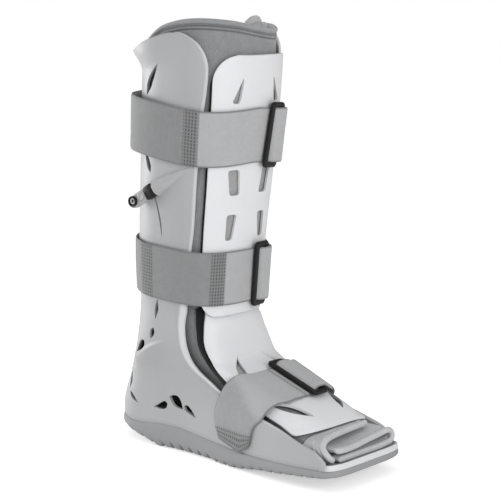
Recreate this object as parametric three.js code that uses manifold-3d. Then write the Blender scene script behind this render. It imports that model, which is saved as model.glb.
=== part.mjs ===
// A tall medical walking boot: moulded shell, two front panels, padded liner, three straps.
// Millimetres. X runs to the toe, Y to the wearer's left, Z up.
import * as THREE from 'three';
import { mergeVertices } from 'three/addons/utils/BufferGeometryUtils.js';
import Module from 'manifold-3d';

const wasm = await Module();
wasm.setup();

// Driving dimensions
const soleLength = 292;
const heelWidth = 82;
const forefootWidth = 109;
const shellHeight = 398.6;
const legSetback = 43;
const legWidth = 128;
const shellWall = 3.2;
const panelWall = 2.4;
const padWall = 1.2;
const linerWall = 6.5;
const gap = 0.4;
const layerRoom = 1;
const soleRoom = 0.9;
const floorWall = 3;
const lipHeight = 5;
const lipWall = 4;
const lugPitch = 12.4;
const lugDepth = 3.2;
const restLug = 9;
const sideBulge = 1.2;
const strapWidth = 51;
const strapWall = 1.8;
const ringWire = 4;
const ringLength = 61;
const ringWidth = 21;
const ringThick = 3.4;
const flapWall = 4;
const flapRoom = 1.562;
const bindingRadius = 2.6;

// Heights of the sole's upper face and of its rocker, along the boot
const soleRows = [
  { along: 0.0, top: 0.076, bottom: 0.056 },
  { along: 0.06, top: 0.074, bottom: 0.046 },
  { along: 0.12, top: 0.069, bottom: 0.029 },
  { along: 0.18, top: 0.071, bottom: 0.013 },
  { along: 0.23, top: 0.077, bottom: 0.0 },
  { along: 0.31, top: 0.079, bottom: 0.0 },
  { along: 0.39, top: 0.072, bottom: 0.0 },
  { along: 0.48, top: 0.065, bottom: 0.0 },
  { along: 0.565, top: 0.06, bottom: 0.0 },
  { along: 0.63, top: 0.059, bottom: 0.008 },
  { along: 0.69, top: 0.059, bottom: 0.018 },
  { along: 0.75, top: 0.06, bottom: 0.024 },
  { along: 0.82, top: 0.063, bottom: 0.032 },
  { along: 0.88, top: 0.065, bottom: 0.038 },
  { along: 0.94, top: 0.068, bottom: 0.044 },
  { along: 1.0, top: 0.072, bottom: 0.053 },
];

// Half widths of the sole between the heel's round and the toe's round
const outlineRows = [
  { along: 0.14, half: 0.752 },
  { along: 0.24, half: 0.745 },
  { along: 0.34, half: 0.737 },
  { along: 0.45, half: 0.78 },
  { along: 0.55, half: 0.845 },
  { along: 0.65, half: 0.918 },
  { along: 0.74, half: 0.972 },
  { along: 0.82, half: 1.0 },
  { along: 0.91, half: 1.0 },
  { along: 1.0, half: 0.97 },
];

// Level sections of the boot's form, from the sole's upper face to the liner's rim
const formRows = [
  { up: 0.05, back: 0.02, mid: 0.14, ball: 0.932, front: 1.0, half: 0.648, square: 4.4 },
  { up: 0.095, back: 0.047, mid: 0.144, ball: 0.897, front: 0.976, half: 0.678, square: 3.0 },
  { up: 0.11, back: 0.081, mid: 0.149, ball: 0.8, front: 0.949, half: 0.687, square: 3.0 },
  { up: 0.126, back: 0.128, mid: 0.156, ball: 0.685, front: 0.921, half: 0.695, square: 2.8 },
  { up: 0.14, back: 0.186, mid: 0.164, ball: 0.6, front: 0.89, half: 0.703, square: 3.2 },
  { up: 0.158, back: 0.256, mid: 0.175, ball: 0.52, front: 0.839, half: 0.719, square: 3.4 },
  { up: 0.178, back: 0.326, mid: 0.188, ball: 0.49, front: 0.772, half: 0.75, square: 3.4 },
  { up: 0.198, back: 0.407, mid: 0.202, ball: 0.47, front: 0.692, half: 0.775, square: 3.3 },
  { up: 0.218, back: 0.488, mid: 0.219, ball: 0.45, front: 0.62, half: 0.81, square: 3.8 },
  { up: 0.243, back: 0.581, mid: 0.24, ball: 0.41, front: 0.541, half: 0.825, square: 4.2 },
  { up: 0.286, back: 0.686, mid: 0.26, ball: 0.355, front: 0.502, half: 0.835, square: 3.8 },
  { up: 0.321, back: 0.721, mid: 0.274, ball: 0.318, front: 0.491, half: 0.84, square: 3.2 },
  { up: 0.349, back: 0.744, mid: 0.281, ball: 0.296, front: 0.483, half: 0.844, square: 2.5 },
  { up: 0.376, back: 0.767, mid: 0.284, ball: 0.286, front: 0.482, half: 0.859, square: 2.5 },
  { up: 0.452, back: 0.767, mid: 0.291, ball: 0.291, front: 0.487, half: 0.898, square: 2.6 },
  { up: 0.547, back: 0.826, mid: 0.301, ball: 0.301, front: 0.498, half: 0.945, square: 2.6 },
  { up: 0.652, back: 0.895, mid: 0.315, ball: 0.315, front: 0.515, half: 0.977, square: 2.6 },
  { up: 0.753, back: 0.93, mid: 0.325, ball: 0.325, front: 0.533, half: 0.984, square: 2.6 },
  { up: 0.866, back: 0.965, mid: 0.337, ball: 0.337, front: 0.553, half: 0.992, square: 2.6 },
  { up: 1.0, back: 1.0, mid: 0.346, ball: 0.346, front: 0.563, half: 1.0, square: 2.6 },
  { up: 1.04, back: 1.0, mid: 0.346, ball: 0.346, front: 0.563, half: 1.0, square: 2.6 },
];

// Front edge of the shell in side view
const rimRows = [
  { up: 0.053, along: 0.969 },
  { up: 0.068, along: 0.964 },
  { up: 0.079, along: 0.951 },
  { up: 0.09, along: 0.933 },
  { up: 0.1, along: 0.906 },
  { up: 0.11, along: 0.858 },
  { up: 0.123, along: 0.801 },
  { up: 0.137, along: 0.716 },
  { up: 0.15, along: 0.634 },
  { up: 0.163, along: 0.565 },
  { up: 0.176, along: 0.518 },
  { up: 0.191, along: 0.483 },
  { up: 0.215, along: 0.435 },
  { up: 0.246, along: 0.404 },
  { up: 0.299, along: 0.389 },
  { up: 0.366, along: 0.39 },
  { up: 0.43, along: 0.403 },
  { up: 0.497, along: 0.42 },
  { up: 0.552, along: 0.433 },
  { up: 0.695, along: 0.456 },
  { up: 0.82, along: 0.48 },
  { up: 0.87, along: 0.491 },
  { up: 0.916, along: 0.497 },
  { up: 0.94, along: 0.494 },
  { up: 0.966, along: 0.481 },
  { up: 0.989, along: 0.451 },
  { up: 1.0, along: 0.404 },
];

// The instep panel: its crown and its side edge in side view
const saddleRows = [
  { crownUp: 0.376, edge: 0.425, edgeUp: 0.366, swing: 0 },
  { crownUp: 0.346, edge: 0.435, edgeUp: 0.338, swing: 0 },
  { crownUp: 0.321, edge: 0.4435, edgeUp: 0.312, swing: 0 },
  { crownUp: 0.2935, edge: 0.45, edgeUp: 0.288, swing: 0 },
  { crownUp: 0.266, edge: 0.461, edgeUp: 0.267, swing: 0 },
  { crownUp: 0.241, edge: 0.478, edgeUp: 0.246, swing: 0 },
  { crownUp: 0.226, edge: 0.4966, edgeUp: 0.228, swing: 0 },
  { crownUp: 0.2115, edge: 0.518, edgeUp: 0.211, swing: 0 },
  { crownUp: 0.1957, edge: 0.556, edgeUp: 0.188, swing: 0.004 },
  { crownUp: 0.1806, edge: 0.607, edgeUp: 0.167, swing: 0.01 },
  { crownUp: 0.1656, edge: 0.668, edgeUp: 0.1505, swing: 0.02 },
  { crownUp: 0.1505, edge: 0.731, edgeUp: 0.137, swing: 0.03 },
  { crownUp: 0.138, edge: 0.787, edgeUp: 0.1245, swing: 0.04 },
  { crownUp: 0.1265, edge: 0.822, edgeUp: 0.1125, swing: 0.05 },
];

const atX = (share) => share * soleLength;
const atZ = (share) => share * shellHeight;
const heelHalf = heelWidth / 2;
const forefootHalf = forefootWidth / 2;
const legHalf = legWidth / 2;

// Reads a table at a place, on a smooth curve through its rows
function read(rows, key, at, value) {
  let i = 0;
  while (i < rows.length - 2 && at > rows[i + 1][key]) i += 1;
  const a = rows[i];
  const b = rows[i + 1];
  const before = rows[Math.max(i - 1, 0)];
  const after = rows[Math.min(i + 2, rows.length - 1)];
  const span = b[key] - a[key];
  const t = Math.min(Math.max((at - a[key]) / span, 0), 1);
  const slopeA = ((b[value] - before[value]) / (b[key] - before[key])) * span;
  const slopeB = ((after[value] - a[value]) / (after[key] - a[key])) * span;
  const t2 = t * t;
  const t3 = t2 * t;
  return (
    (2 * t3 - 3 * t2 + 1) * a[value] +
    (t3 - 2 * t2 + t) * slopeA +
    (3 * t2 - 2 * t3) * b[value] +
    (t3 - t2) * slopeB
  );
}

const mix = (a, b, t) => a + (b - a) * t;
const ease = (from, to, at) => {
  const t = Math.min(Math.max((at - from) / (to - from), 0), 1);
  return t * t * (3 - 2 * t);
};
const oval = (t, power) => Math.pow(Math.max(1 - Math.pow(Math.abs(t), power), 0), 1 / power);

const soleTop = (x) => read(soleRows, 'along', x / soleLength, 'top') * soleLength;
const soleBottom = (x) =>
  Math.max(read(soleRows, 'along', x / soleLength, 'bottom'), 0) * soleLength;
const rimAt = (z) => read(rimRows, 'up', z / shellHeight, 'along') * soleLength;
const outlineHalf = (x) => read(outlineRows, 'along', x / soleLength, 'half') * forefootHalf;

// The form's level section: where it starts and ends and how wide it is
function section(z, off) {
  const up = z / shellHeight;
  const frontAt = (h) => read(formRows, 'up', h, 'front') * soleLength;
  const slope = (frontAt(up + 0.01) - frontAt(up - 0.01)) / (0.02 * shellHeight);
  const lean = Math.sqrt(1 + Math.min(slope * slope, 10));
  return {
    back: read(formRows, 'up', up, 'back') * legSetback - off,
    mid: read(formRows, 'up', up, 'mid') * soleLength,
    ball: read(formRows, 'up', up, 'ball') * soleLength,
    front: frontAt(up) + off * lean,
    half: read(formRows, 'up', up, 'half') * legHalf + off,
    square: read(formRows, 'up', up, 'square'),
    leg: ease(0.1 * shellHeight, 0.29 * shellHeight, z),
    off,
  };
}

// Half width of a section at a place along the boot
function halfAt(s, x) {
  const lateral = mix(outlineHalf(x) + s.off, s.half, s.leg);
  if (x < s.mid) return lateral * oval((s.mid - x) / (s.mid - s.back), 2.2);
  if (x > s.ball) return lateral * oval((x - s.ball) / (s.front - s.ball), s.square);
  return lateral;
}

// Half of a level section from the back to a given place, in equal steps
function halfOutline(z, off, reach, steps, rate = 1) {
  const s = section(z, off);
  const end = Math.min(reach, s.front);
  const fine = 90;
  const points = [];
  for (let i = 0; i <= fine; i += 1) {
    const t = i / fine;
    const bent = end >= s.front ? (1 - Math.cos(Math.PI * t)) / 2 : t * t;
    const x = s.back + (end - s.back) * bent;
    points.push(new THREE.Vector2(x, halfAt(s, x)));
  }
  points[0].y = 0;
  return spread(points, steps, rate);
}

// Points along a line of points: evenly, or closer at its start with a rate over 1
function spread(points, steps, rate = 1) {
  const along = [0];
  for (let i = 1; i < points.length; i += 1) {
    along.push(along[i - 1] + points[i].distanceTo(points[i - 1]));
  }
  const total = along[along.length - 1];
  const out = [];
  let j = 1;
  for (let i = 0; i <= steps; i += 1) {
    const want = total * Math.pow(i / steps, rate);
    while (j < points.length - 1 && along[j] < want) j += 1;
    const t = (want - along[j - 1]) / (along[j] - along[j - 1]);
    out.push(points[j - 1].clone().lerp(points[j], t));
  }
  return out;
}

// A point of the leg's form at a height and an angle from the toe's direction
function formPoint(z, angle, off) {
  const s = section(z, off);
  const turn = THREE.MathUtils.degToRad(angle);
  const c = Math.cos(turn);
  const n = Math.sin(turn);
  const power = c > 0 ? s.square : 2.2;
  const reach = c > 0 ? s.front - s.mid : s.mid - s.back;
  const scale = Math.pow(
    Math.pow(Math.abs(c) / reach, power) + Math.pow(Math.abs(n) / s.half, power),
    -1 / power,
  );
  return new THREE.Vector3(s.mid + scale * c, scale * n, z);
}

// Makes a closed solid from a grid of outer points and its thickness inwards
function sheet(grid, thickness, across = false, middle = false) {
  const rows = grid.length;
  const columns = grid[0].length;
  const at = (i, j) => grid[Math.min(Math.max(i, 0), rows - 1)][
    across ? (j + columns) % columns : Math.min(Math.max(j, 0), columns - 1)
  ];
  const points = [];
  const normals = [];
  for (let i = 0; i < rows; i += 1) {
    for (let j = 0; j < columns; j += 1) {
      const along = at(i, j + 1).clone().sub(at(i, j - 1));
      const up = at(i + 1, j).clone().sub(at(i - 1, j));
      normals.push(along.cross(up).normalize());
      points.push(at(i, j));
    }
  }
  const outer = points.length;
  if (middle) {
    points.forEach((p, k) => points.splice(k, 1, p.clone().addScaledVector(normals[k], thickness / 2)));
  }
  for (let k = 0; k < outer; k += 1) {
    points.push(points[k].clone().addScaledVector(normals[k], -thickness));
  }
  const faces = [];
  const quad = (a, b, c, d) => faces.push(a, b, c, a, c, d);
  const last = across ? columns : columns - 1;
  for (let i = 0; i < rows - 1; i += 1) {
    for (let j = 0; j < last; j += 1) {
      const a = i * columns + j;
      const b = i * columns + ((j + 1) % columns);
      quad(a, b, b + columns, a + columns);
      quad(outer + a, outer + a + columns, outer + b + columns, outer + b);
    }
  }
  for (let j = 0; j < last; j += 1) {
    const a = j;
    const b = (j + 1) % columns;
    const top = (rows - 1) * columns;
    quad(a, outer + a, outer + b, b);
    quad(top + a, top + b, outer + top + b, outer + top + a);
  }
  if (!across) {
    for (let i = 0; i < rows - 1; i += 1) {
      const a = i * columns;
      const b = a + columns - 1;
      quad(a, a + columns, outer + a + columns, outer + a);
      quad(b, outer + b, outer + b + columns, b + columns);
    }
  }
  return meshOf(points, faces);
}

// Makes a closed solid through rings of points, with flat ends
function loft(rings) {
  const count = rings[0].length;
  const points = rings.flat();
  const faces = [];
  for (let i = 0; i < rings.length - 1; i += 1) {
    for (let j = 0; j < count; j += 1) {
      const a = i * count + j;
      const b = i * count + ((j + 1) % count);
      faces.push(a, b, b + count, a, b + count, a + count);
    }
  }
  const contour = (ring) => {
    const low = new THREE.Box3().setFromPoints(ring);
    const size = low.getSize(new THREE.Vector3());
    const flat = size.x < size.z && size.x < size.y;
    return ring.map((p) => (flat ? new THREE.Vector2(p.y, p.z) : new THREE.Vector2(p.x, p.y)));
  };
  const top = (rings.length - 1) * count;
  for (const [a, b, c] of THREE.ShapeUtils.triangulateShape(contour(rings[0]), [])) {
    faces.push(c, b, a);
  }
  for (const [a, b, c] of THREE.ShapeUtils.triangulateShape(contour(rings.at(-1)), [])) {
    faces.push(top + a, top + b, top + c);
  }
  return meshOf(points, faces);
}

function meshOf(points, faces) {
  const geometry = new THREE.BufferGeometry().setFromPoints(points);
  geometry.setIndex(faces);
  return geometry;
}

// A three.js shape as a solid that can be joined and cut
function solid(geometry) {
  const bare = geometry.clone();
  bare.deleteAttribute('normal');
  bare.deleteAttribute('uv');
  const merged = mergeVertices(bare, 1e-4);
  const vertProperties = Float32Array.from(merged.attributes.position.array);
  const triVerts = Uint32Array.from(merged.index.array);
  const made = new wasm.Manifold(new wasm.Mesh({ numProp: 3, vertProperties, triVerts }));
  if (made.volume() > 0) return made;
  for (let i = 0; i < triVerts.length; i += 3) {
    [triVerts[i], triVerts[i + 1]] = [triVerts[i + 1], triVerts[i]];
  }
  return new wasm.Manifold(new wasm.Mesh({ numProp: 3, vertProperties, triVerts }));
}

function shapeOf(made) {
  const bare = made.getMesh();
  const geometry = new THREE.BufferGeometry();
  geometry.setAttribute('position', new THREE.BufferAttribute(bare.vertProperties, 3));
  geometry.setIndex(new THREE.BufferAttribute(bare.triVerts, 1));
  geometry.computeVertexNormals();
  return geometry;
}

const cut = (body, cutters) => cutters.reduce((rest, cutter) => rest.subtract(cutter), body);
const join = (bodies) => bodies.reduce((whole, body) => whole.add(body));

// A prism on an outline drawn in side view, running between two places across the boot
function sideCutter(outline, from, to) {
  const shape = new THREE.Shape(outline.map(([x, z]) => new THREE.Vector2(x, z)));
  const geometry = new THREE.ExtrudeGeometry(shape, { depth: to - from, bevelEnabled: false });
  geometry.rotateX(Math.PI / 2);
  geometry.translate(0, to, 0);
  return solid(geometry);
}

// A prism on an outline drawn in front view, running along the boot
function frontCutter(outline, from, to) {
  const shape = new THREE.Shape(outline.map(([y, z]) => new THREE.Vector2(y, z)));
  const geometry = new THREE.ExtrudeGeometry(shape, { depth: to - from, bevelEnabled: false });
  geometry.applyMatrix4(new THREE.Matrix4().set(0, 0, 1, from, 1, 0, 0, 0, 0, 1, 0, 0, 0, 0, 0, 1));
  return solid(geometry);
}

// A prism on an outline drawn from above, running up
function topCutter(outline, from, to) {
  const shape = new THREE.Shape(outline.map(([x, y]) => new THREE.Vector2(x, y)));
  const geometry = new THREE.ExtrudeGeometry(shape, { depth: to - from, bevelEnabled: false });
  geometry.translate(0, 0, from);
  return solid(geometry);
}

// A leaf outline between two tips, bowed to one side, widest at a share of its length
function leaf(tipA, tipB, width, bow, widest = 0.5) {
  const a = new THREE.Vector2(...tipA);
  const b = new THREE.Vector2(...tipB);
  const along = b.clone().sub(a);
  const side = new THREE.Vector2(-along.y, along.x).normalize();
  const point = (t, half) => {
    const bend = bow * 4 * t * (1 - t);
    const p = a.clone().addScaledVector(along, t).addScaledVector(side, bend + half);
    return [p.x, p.y];
  };
  const fat = (t) => (width / 2) * Math.sin(Math.PI * (t < widest
    ? (0.5 * t) / widest
    : 0.5 + (0.5 * (t - widest)) / (1 - widest)));
  const steps = [0.3, 0.7];
  return [
    point(0, 0),
    ...steps.map((t) => point(t, -fat(t))),
    point(1, 0),
    ...steps.reverse().map((t) => point(t, fat(t))),
  ];
}

// Outsole: cross ribs under a rocker, drawn in to the waist
function outsole() {
  const rings = [];
  const ring = (x, groove) => {
    const half = halfAt(section(soleTop(x), 0), x);
    const waist = ease(0.22, 0.27, x / soleLength) * (1 - ease(0.46, 0.5, x / soleLength));
    const low = soleBottom(x) + groove * (lugDepth + waist);
    const high = soleTop(x);
    const foot = Math.max(half - 2.5 - 3 * waist, half * 0.6);
    const middle = mix(low, high, 0.45);
    const side = (k) => [
      new THREE.Vector3(x, k * foot, low),
      new THREE.Vector3(x, k * (half + sideBulge), middle),
      new THREE.Vector3(x, k * half, high),
    ];
    return [...side(1), ...side(-1).reverse()];
  };
  const places = [[0.35, 0], [2.5, 0], [6, 0]];
  const lugs = Math.floor((soleLength - 8) / lugPitch);
  for (let k = 1; k <= lugs; k += 1) {
    const start = k * lugPitch;
    places.push([start - 3.6, 1], [start - 1.2, 1], [start, 0], [start + lugPitch - 4.8, 0]);
  }
  places.push([soleLength - 4, 0], [soleLength - 0.8, 0]);
  for (const [x, groove] of places.filter(([x]) => x > 0).sort((a, b) => a[0] - b[0])) {
    rings.push(ring(x, groove));
  }
  return solid(loft(rings));
}

const heights = (from, to, steps) =>
  Array.from({ length: steps + 1 }, (_, i) => from + ((to - from) * i) / steps);

// Rear shell: one wall from the toe's sides round the heel and up to the calf wings
const rimBand = 7;
const rimDrop = 3.4;
const collarFlare = 9;
function shellWallGrid(columns) {
  const levels = [
    ...heights(0.0515, 0.15, 5),
    ...heights(0.175, 0.38, 4),
    ...heights(0.48, 0.86, 3),
    ...[0.9, 0.935, 0.962, 0.985, 1.0],
  ];
  return levels.map((up) => {
    const z = up * shellHeight;
    const half = halfOutline(z, 0, rimAt(z), columns, 1.25);
    const total = half.reduce((sum, p, i) => sum + (i ? p.distanceTo(half[i - 1]) : 0), 0);
    const band = rimBand * (1 + 0.8 * (1 - ease(0.16, 0.22, up)));
    const drop = rimDrop * ease(0.14, 0.17, up) * mix(1, 0.25, ease(0.36, 0.45, up));
    const bottom = 1 - ease(0.0515, 0.14, up);
    const side = half.map((p, i) => {
      const left = total * (1 - Math.pow(i / columns, 1.25));
      const turned = Math.max(1 - left / band, 0) * drop;
      const rear = 1 - ease(0.2, 0.42, p.x / soleLength);
      const fall = ease(0.87, 1.0, up) * read(topRows, 'along', p.x / soleLength, 'drop');
      const height = z + bottom * (soleTop(p.x) + soleRoom - 0.0515 * shellHeight) - fall * legHalf;
      const flare = collarFlare * Math.pow(ease(0.9, 0.958, height / shellHeight), 1.4) * rear;
      const out = new THREE.Vector2(p.x - 90, p.y).normalize().multiplyScalar(flare);
      return new THREE.Vector3(p.x + out.x, p.y + out.y - turned, height);
    });
    const right = side.map((p) => new THREE.Vector3(p.x, -p.y, p.z));
    return [...right.reverse(), ...side.slice(1)].reverse();
  });
}

// How far the shell's top edge falls below the wings, from the back forwards
const topRows = [
  { along: 0.0, drop: 0.33 },
  { along: 0.15, drop: 0.33 },
  { along: 0.2, drop: 0.29 },
  { along: 0.28, drop: 0.13 },
  { along: 0.36, drop: 0.02 },
  { along: 0.41, drop: 0.0 },
];

// The shell's floor with the raised lip round the toe
function shellFloor() {
  const stations = heights(0.012, 0.985, 15);
  const grid = stations.map((share) => {
    const x = share * soleLength;
    const s = section(soleTop(x), -0.8);
    const half = Math.max(halfAt(s, Math.max(x, s.back + 0.5)), 2);
    return heights(-half, half, 3).map((y) => new THREE.Vector3(x, y, soleTop(x) + soleRoom + floorWall));
  });
  return solid(sheet(grid.map((row) => row.reverse()), floorWall));
}

function toeLip() {
  const z = 0.05 * shellHeight;
  const outline = halfOutline(z, -0.05, soleLength, 60).filter((p) => p.x > 0.945 * soleLength);
  const side = spread([...outline], 7);
  side[side.length - 1].y = 0;
  const path = [...side, ...side.slice(0, -1).reverse().map((p) => new THREE.Vector2(p.x, -p.y))];
  const grid = [0, 0.6, 1].map((up, i) =>
    path.map((p) => {
      const tuck = [0, 0.2, 1.2][i];
      const inward = new THREE.Vector2(p.x - 240, p.y).normalize().multiplyScalar(-tuck);
      return new THREE.Vector3(p.x + inward.x, p.y + inward.y, soleTop(p.x) + soleRoom + up * lipHeight);
    }),
  );
  return solid(sheet(grid.map((row) => row.reverse()), lipWall));
}

// Slots through the shell's side, drawn in side view
const shellSlots = [
  leaf([atX(0.262), atZ(0.853)], [atX(0.327), atZ(0.928)], 5, 1.2, 0.35),
  leaf([atX(0.247), atZ(0.735)], [atX(0.281), atZ(0.675)], 3.4, 0.4, 0.7),
  leaf([atX(0.286), atZ(0.645)], [atX(0.322), atZ(0.523)], 2, 2.6, 0.7),
  leaf([atX(0.283), atZ(0.375)], [atX(0.268), atZ(0.325)], 2.8, 0),
  leaf([atX(0.259), atZ(0.304)], [atX(0.244), atZ(0.275)], 4, 0, 0.4),
  leaf([atX(0.222), atZ(0.105)], [atX(0.279), atZ(0.117)], 6.5, -1.5, 0.55),
  leaf([atX(0.298), atZ(0.131)], [atX(0.342), atZ(0.113)], 7, 1.4, 0.45),
  leaf([atX(0.362), atZ(0.113)], [atX(0.405), atZ(0.096)], 5, 0.6, 0.35),
  leaf([atX(0.175), atZ(0.255)], [atX(0.14), atZ(0.229)], 4, 0.6, 0.5),
  leaf([atX(0.077), atZ(0.168)], [atX(0.07), atZ(0.129)], 2.6, 0.4),
  leaf([atX(0.075), atZ(0.1125)], [atX(0.13), atZ(0.1)], 2.6, -0.8),
];
function rearShell() {
  const wall = solid(sheet(shellWallGrid(12), shellWall));
  const body = join([wall, shellFloor(), toeLip(), fairing()]);
  const reach = legWidth;
  const sides = shellSlots.flatMap((outline) => [
    sideCutter(outline, -reach, -heelHalf * 0.5),
    sideCutter(outline, heelHalf * 0.5, reach),
  ]);
  return cut(body, sides);
}

// Front panel over the shin, its edges from level to level
const panelAngle = 45;
const panelTop = 0.947;
const panelBottom = 0.341;
function frontPanelGrid(off, grow, top, bottom, rows, columns) {
  const levels = [0, 0.008, 0.03, 0.065];
  const ups = [
    ...levels.map((d) => bottom + d),
    ...heights(bottom + 0.13, top - 0.13, rows),
    ...levels.map((d) => top - d).reverse(),
  ];
  return ups.map((up) => {
    const fromTop = (radius) => {
      const high = Math.min(top - up, radius) / radius;
      return Math.sqrt(Math.max(1 - (1 - high) * (1 - high), 0));
    };
    const fromBottom = (radius) => {
      const low = Math.min(up - bottom, radius) / radius;
      return Math.sqrt(Math.max(1 - (1 - low) * (1 - low), 0));
    };
    const bottomCorner = 15 * (1 - fromBottom(0.045));
    const right = panelAngle + grow - 21 * (1 - fromTop(0.06)) - bottomCorner;
    const left = panelAngle + grow - 7 * (1 - fromTop(0.02)) - bottomCorner;
    return heights(-right, left, columns).map((angle) =>
      formPoint(up * shellHeight, angle, off));
  });
}

// Window slots of the front panel, as half of a symmetric pair
const panelSlots = [
  { top: 0.685, bottom: 0.625, outerTop: 0.455, innerTop: 0.252, outerLow: 0.395, innerLow: 0.205 },
  { top: 0.58, bottom: 0.519, outerTop: 0.408, innerTop: 0.223, outerLow: 0.405, innerLow: 0.28 },
];
function panelSlot(slot, side) {
  const at = (across, up) => [
    side * legHalf * mix(
      mix(slot.outerLow, slot.outerTop, up),
      mix(slot.innerLow, slot.innerTop, up),
      across,
    ),
    mix(slot.bottom, slot.top, up) * shellHeight,
  ];
  return [at(0, 0.06), at(0.12, 0), at(0.88, 0), at(1, 0.06), at(1, 0.94), at(0.88, 1),
    at(0.12, 1), at(0, 0.94)];
}
function tearSlot(side) {
  const y = (share) => side * share * legHalf;
  return [
    [y(-0.49), atZ(0.843)], [y(-0.46), atZ(0.838)], [y(-0.38), atZ(0.838)], [y(-0.355), atZ(0.846)],
    [y(-0.335), atZ(0.87)], [y(-0.32), atZ(0.893)], [y(-0.33), atZ(0.896)], [y(-0.4), atZ(0.873)],
  ];
}

function frontPanel() {
  const body = solid(sheet(frontPanelGrid(0, 0, panelTop, panelBottom, 3, 10), panelWall));
  const cutters = [-1, 1].flatMap((side) => [
    ...panelSlots.map((slot) => frontCutter(panelSlot(slot, side), atX(0.4), atX(0.7))),
    frontCutter(tearSlot(side), atX(0.4), atX(0.7)),
  ]);
  return cut(body, cutters);
}

const shinPad = () =>
  solid(sheet(frontPanelGrid(-panelWall - layerRoom, 1.6, panelTop - 0.012, 0.42, 3, 8), padWall));

// Instep panel: a saddle from under the front panel to the toes
const saddleOff = -(shellWall + 1.3 * layerRoom);
function saddlePoint(row, t, off, grow) {
  const edgeX = (row.edge - grow) * soleLength;
  const edgeZ = (row.edgeUp - grow * 0.4) * shellHeight;
  const crownZ = row.crownUp * shellHeight;
  const startX = section(crownZ, off).front;
  const share = t * t;
  const px = mix(startX, edgeX, share);
  const pz = mix(crownZ, edgeZ, share);
  const s = section(pz, off);
  const width = t === 0 ? 0 : halfAt(s, Math.min(px, s.front - 0.01));
  return new THREE.Vector3(px, width, pz);
}
function saddleGrid(off, grow, rows, half) {
  const grid = [];
  for (let i = 0; i <= rows; i += 1) {
    const place = (i / rows) * (saddleRows.length - 1);
    const k = Math.min(Math.floor(place), saddleRows.length - 2);
    const t = place - k;
    const row = {};
    for (const key of ['crownUp', 'edge', 'edgeUp', 'swing']) {
      row[key] = mix(saddleRows[k][key], saddleRows[k + 1][key], t);
    }
    const far = { ...row, edge: row.edge + row.swing };
    const left = heights(0, 1, half).map((share) => saddlePoint(far, share, off, grow));
    const right = heights(0, 1, half).map((share) => saddlePoint(row, share, off, grow));
    for (const p of right) p.y = -p.y;
    grid.push([...right.slice(1).reverse(), ...left]);
  }
  return grid.reverse();
}

// Leaf slots of the instep panel seen from above, one of each pair
const instepLeaves = [
  { tip: [0.51, 0.312], end: [0.623, 0.69], width: 6.5, bow: 1.5 },
  { tip: [0.706, 0.735], end: [0.84, 0.372], width: 7, bow: 1 },
];
function instepPanel() {
  const body = solid(sheet(saddleGrid(saddleOff, 0, 12, 5), panelWall));
  const plan = (p, side) => [atX(p[0]), side * p[1] * forefootHalf];
  const cutters = [-1, 1].flatMap((side) => instepLeaves.map(({ tip, end, width, bow }) =>
    topCutter(leaf(plan(tip, side), plan(end, side), width, side * bow, 0.55), atZ(0.1), atZ(0.3))));
  return cut(body, cutters);
}
const instepPad = () =>
  solid(sheet(saddleGrid(saddleOff - panelWall - layerRoom, 0.02, 10, 4).slice(3), padWall));

// Closed level rings of the form, between two heights
function formRings(levels, off, half) {
  return levels.map((height) => {
    const inset = typeof off === 'function' ? off(height) : off;
    const side = halfOutline(height, inset, soleLength * 2, half, 1.15);
    side[half].y = 0;
    const left = side.map((p) => new THREE.Vector3(p.x, p.y, height));
    const right = side.slice(1, -1).map((p) => new THREE.Vector3(p.x, -p.y, height));
    return [...left, ...right.reverse()].reverse();
  });
}

// Height of the liner's upper edge, round the leg from the toe's direction
const rimTurns = [
  { turn: -180, up: 0.958 },
  { turn: -122, up: 0.974 },
  { turn: -94, up: 1.002 },
  { turn: -63, up: 1.015 },
  { turn: -32, up: 1.011 },
  { turn: 0, up: 0.998 },
  { turn: 30, up: 0.99 },
  { turn: 63, up: 1.0 },
  { turn: 94, up: 1.0 },
  { turn: 122, up: 0.974 },
  { turn: 180, up: 0.958 },
];
const legLayers = panelWall + padWall + 2 * layerRoom;
const footLayers = shellWall + panelWall + padWall + 4.2 * layerRoom;
const linerOff = (height) => -mix(footLayers, legLayers, ease(atZ(0.39), atZ(0.46), height));
const rimStart = 0.9;
const toeCut = 0.86;
const legCentre = atX(0.346);
const turnOf = (p) => THREE.MathUtils.radToDeg(Math.atan2(p.y, p.x - legCentre));

// Liner: the padded sock, open above and at the toe
function liner() {
  const base = atZ(0.0715);
  const shares = [0.09, 0.115, 0.145, 0.175, 0.2, 0.225, 0.25, 0.285, 0.33, 0.38];
  const levels = [base, ...[...shares, 0.46, 0.65, 0.88, 1].map(atZ)];
  const lifted = (rings) => rings.map((ring) => ring.map((p) => {
    const rise = read(rimTurns, 'turn', turnOf(p), 'up') - 1;
    return new THREE.Vector3(p.x, p.y, p.z + ease(atZ(rimStart), atZ(1), p.z) * atZ(rise));
  }));
  const inside = (room) => (height) => linerOff(height) - linerWall - room;
  const rim = formRings([atZ(1)], inside(1), 11);
  const outer = solid(loft(lifted([...formRings(levels, linerOff, 11), ...rim])));
  const hollow = [base + linerWall * 0.8, ...levels.slice(2), atZ(1.05)];
  const inner = solid(loft(formRings(hollow, inside(0), 11)));
  const toe = topCutter([[atX(toeCut), -100], [atX(1.1), -100], [atX(1.1), 100], [atX(toeCut), 100]], 0, 100);
  return cut(outer, [inner, toe]);
}

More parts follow.
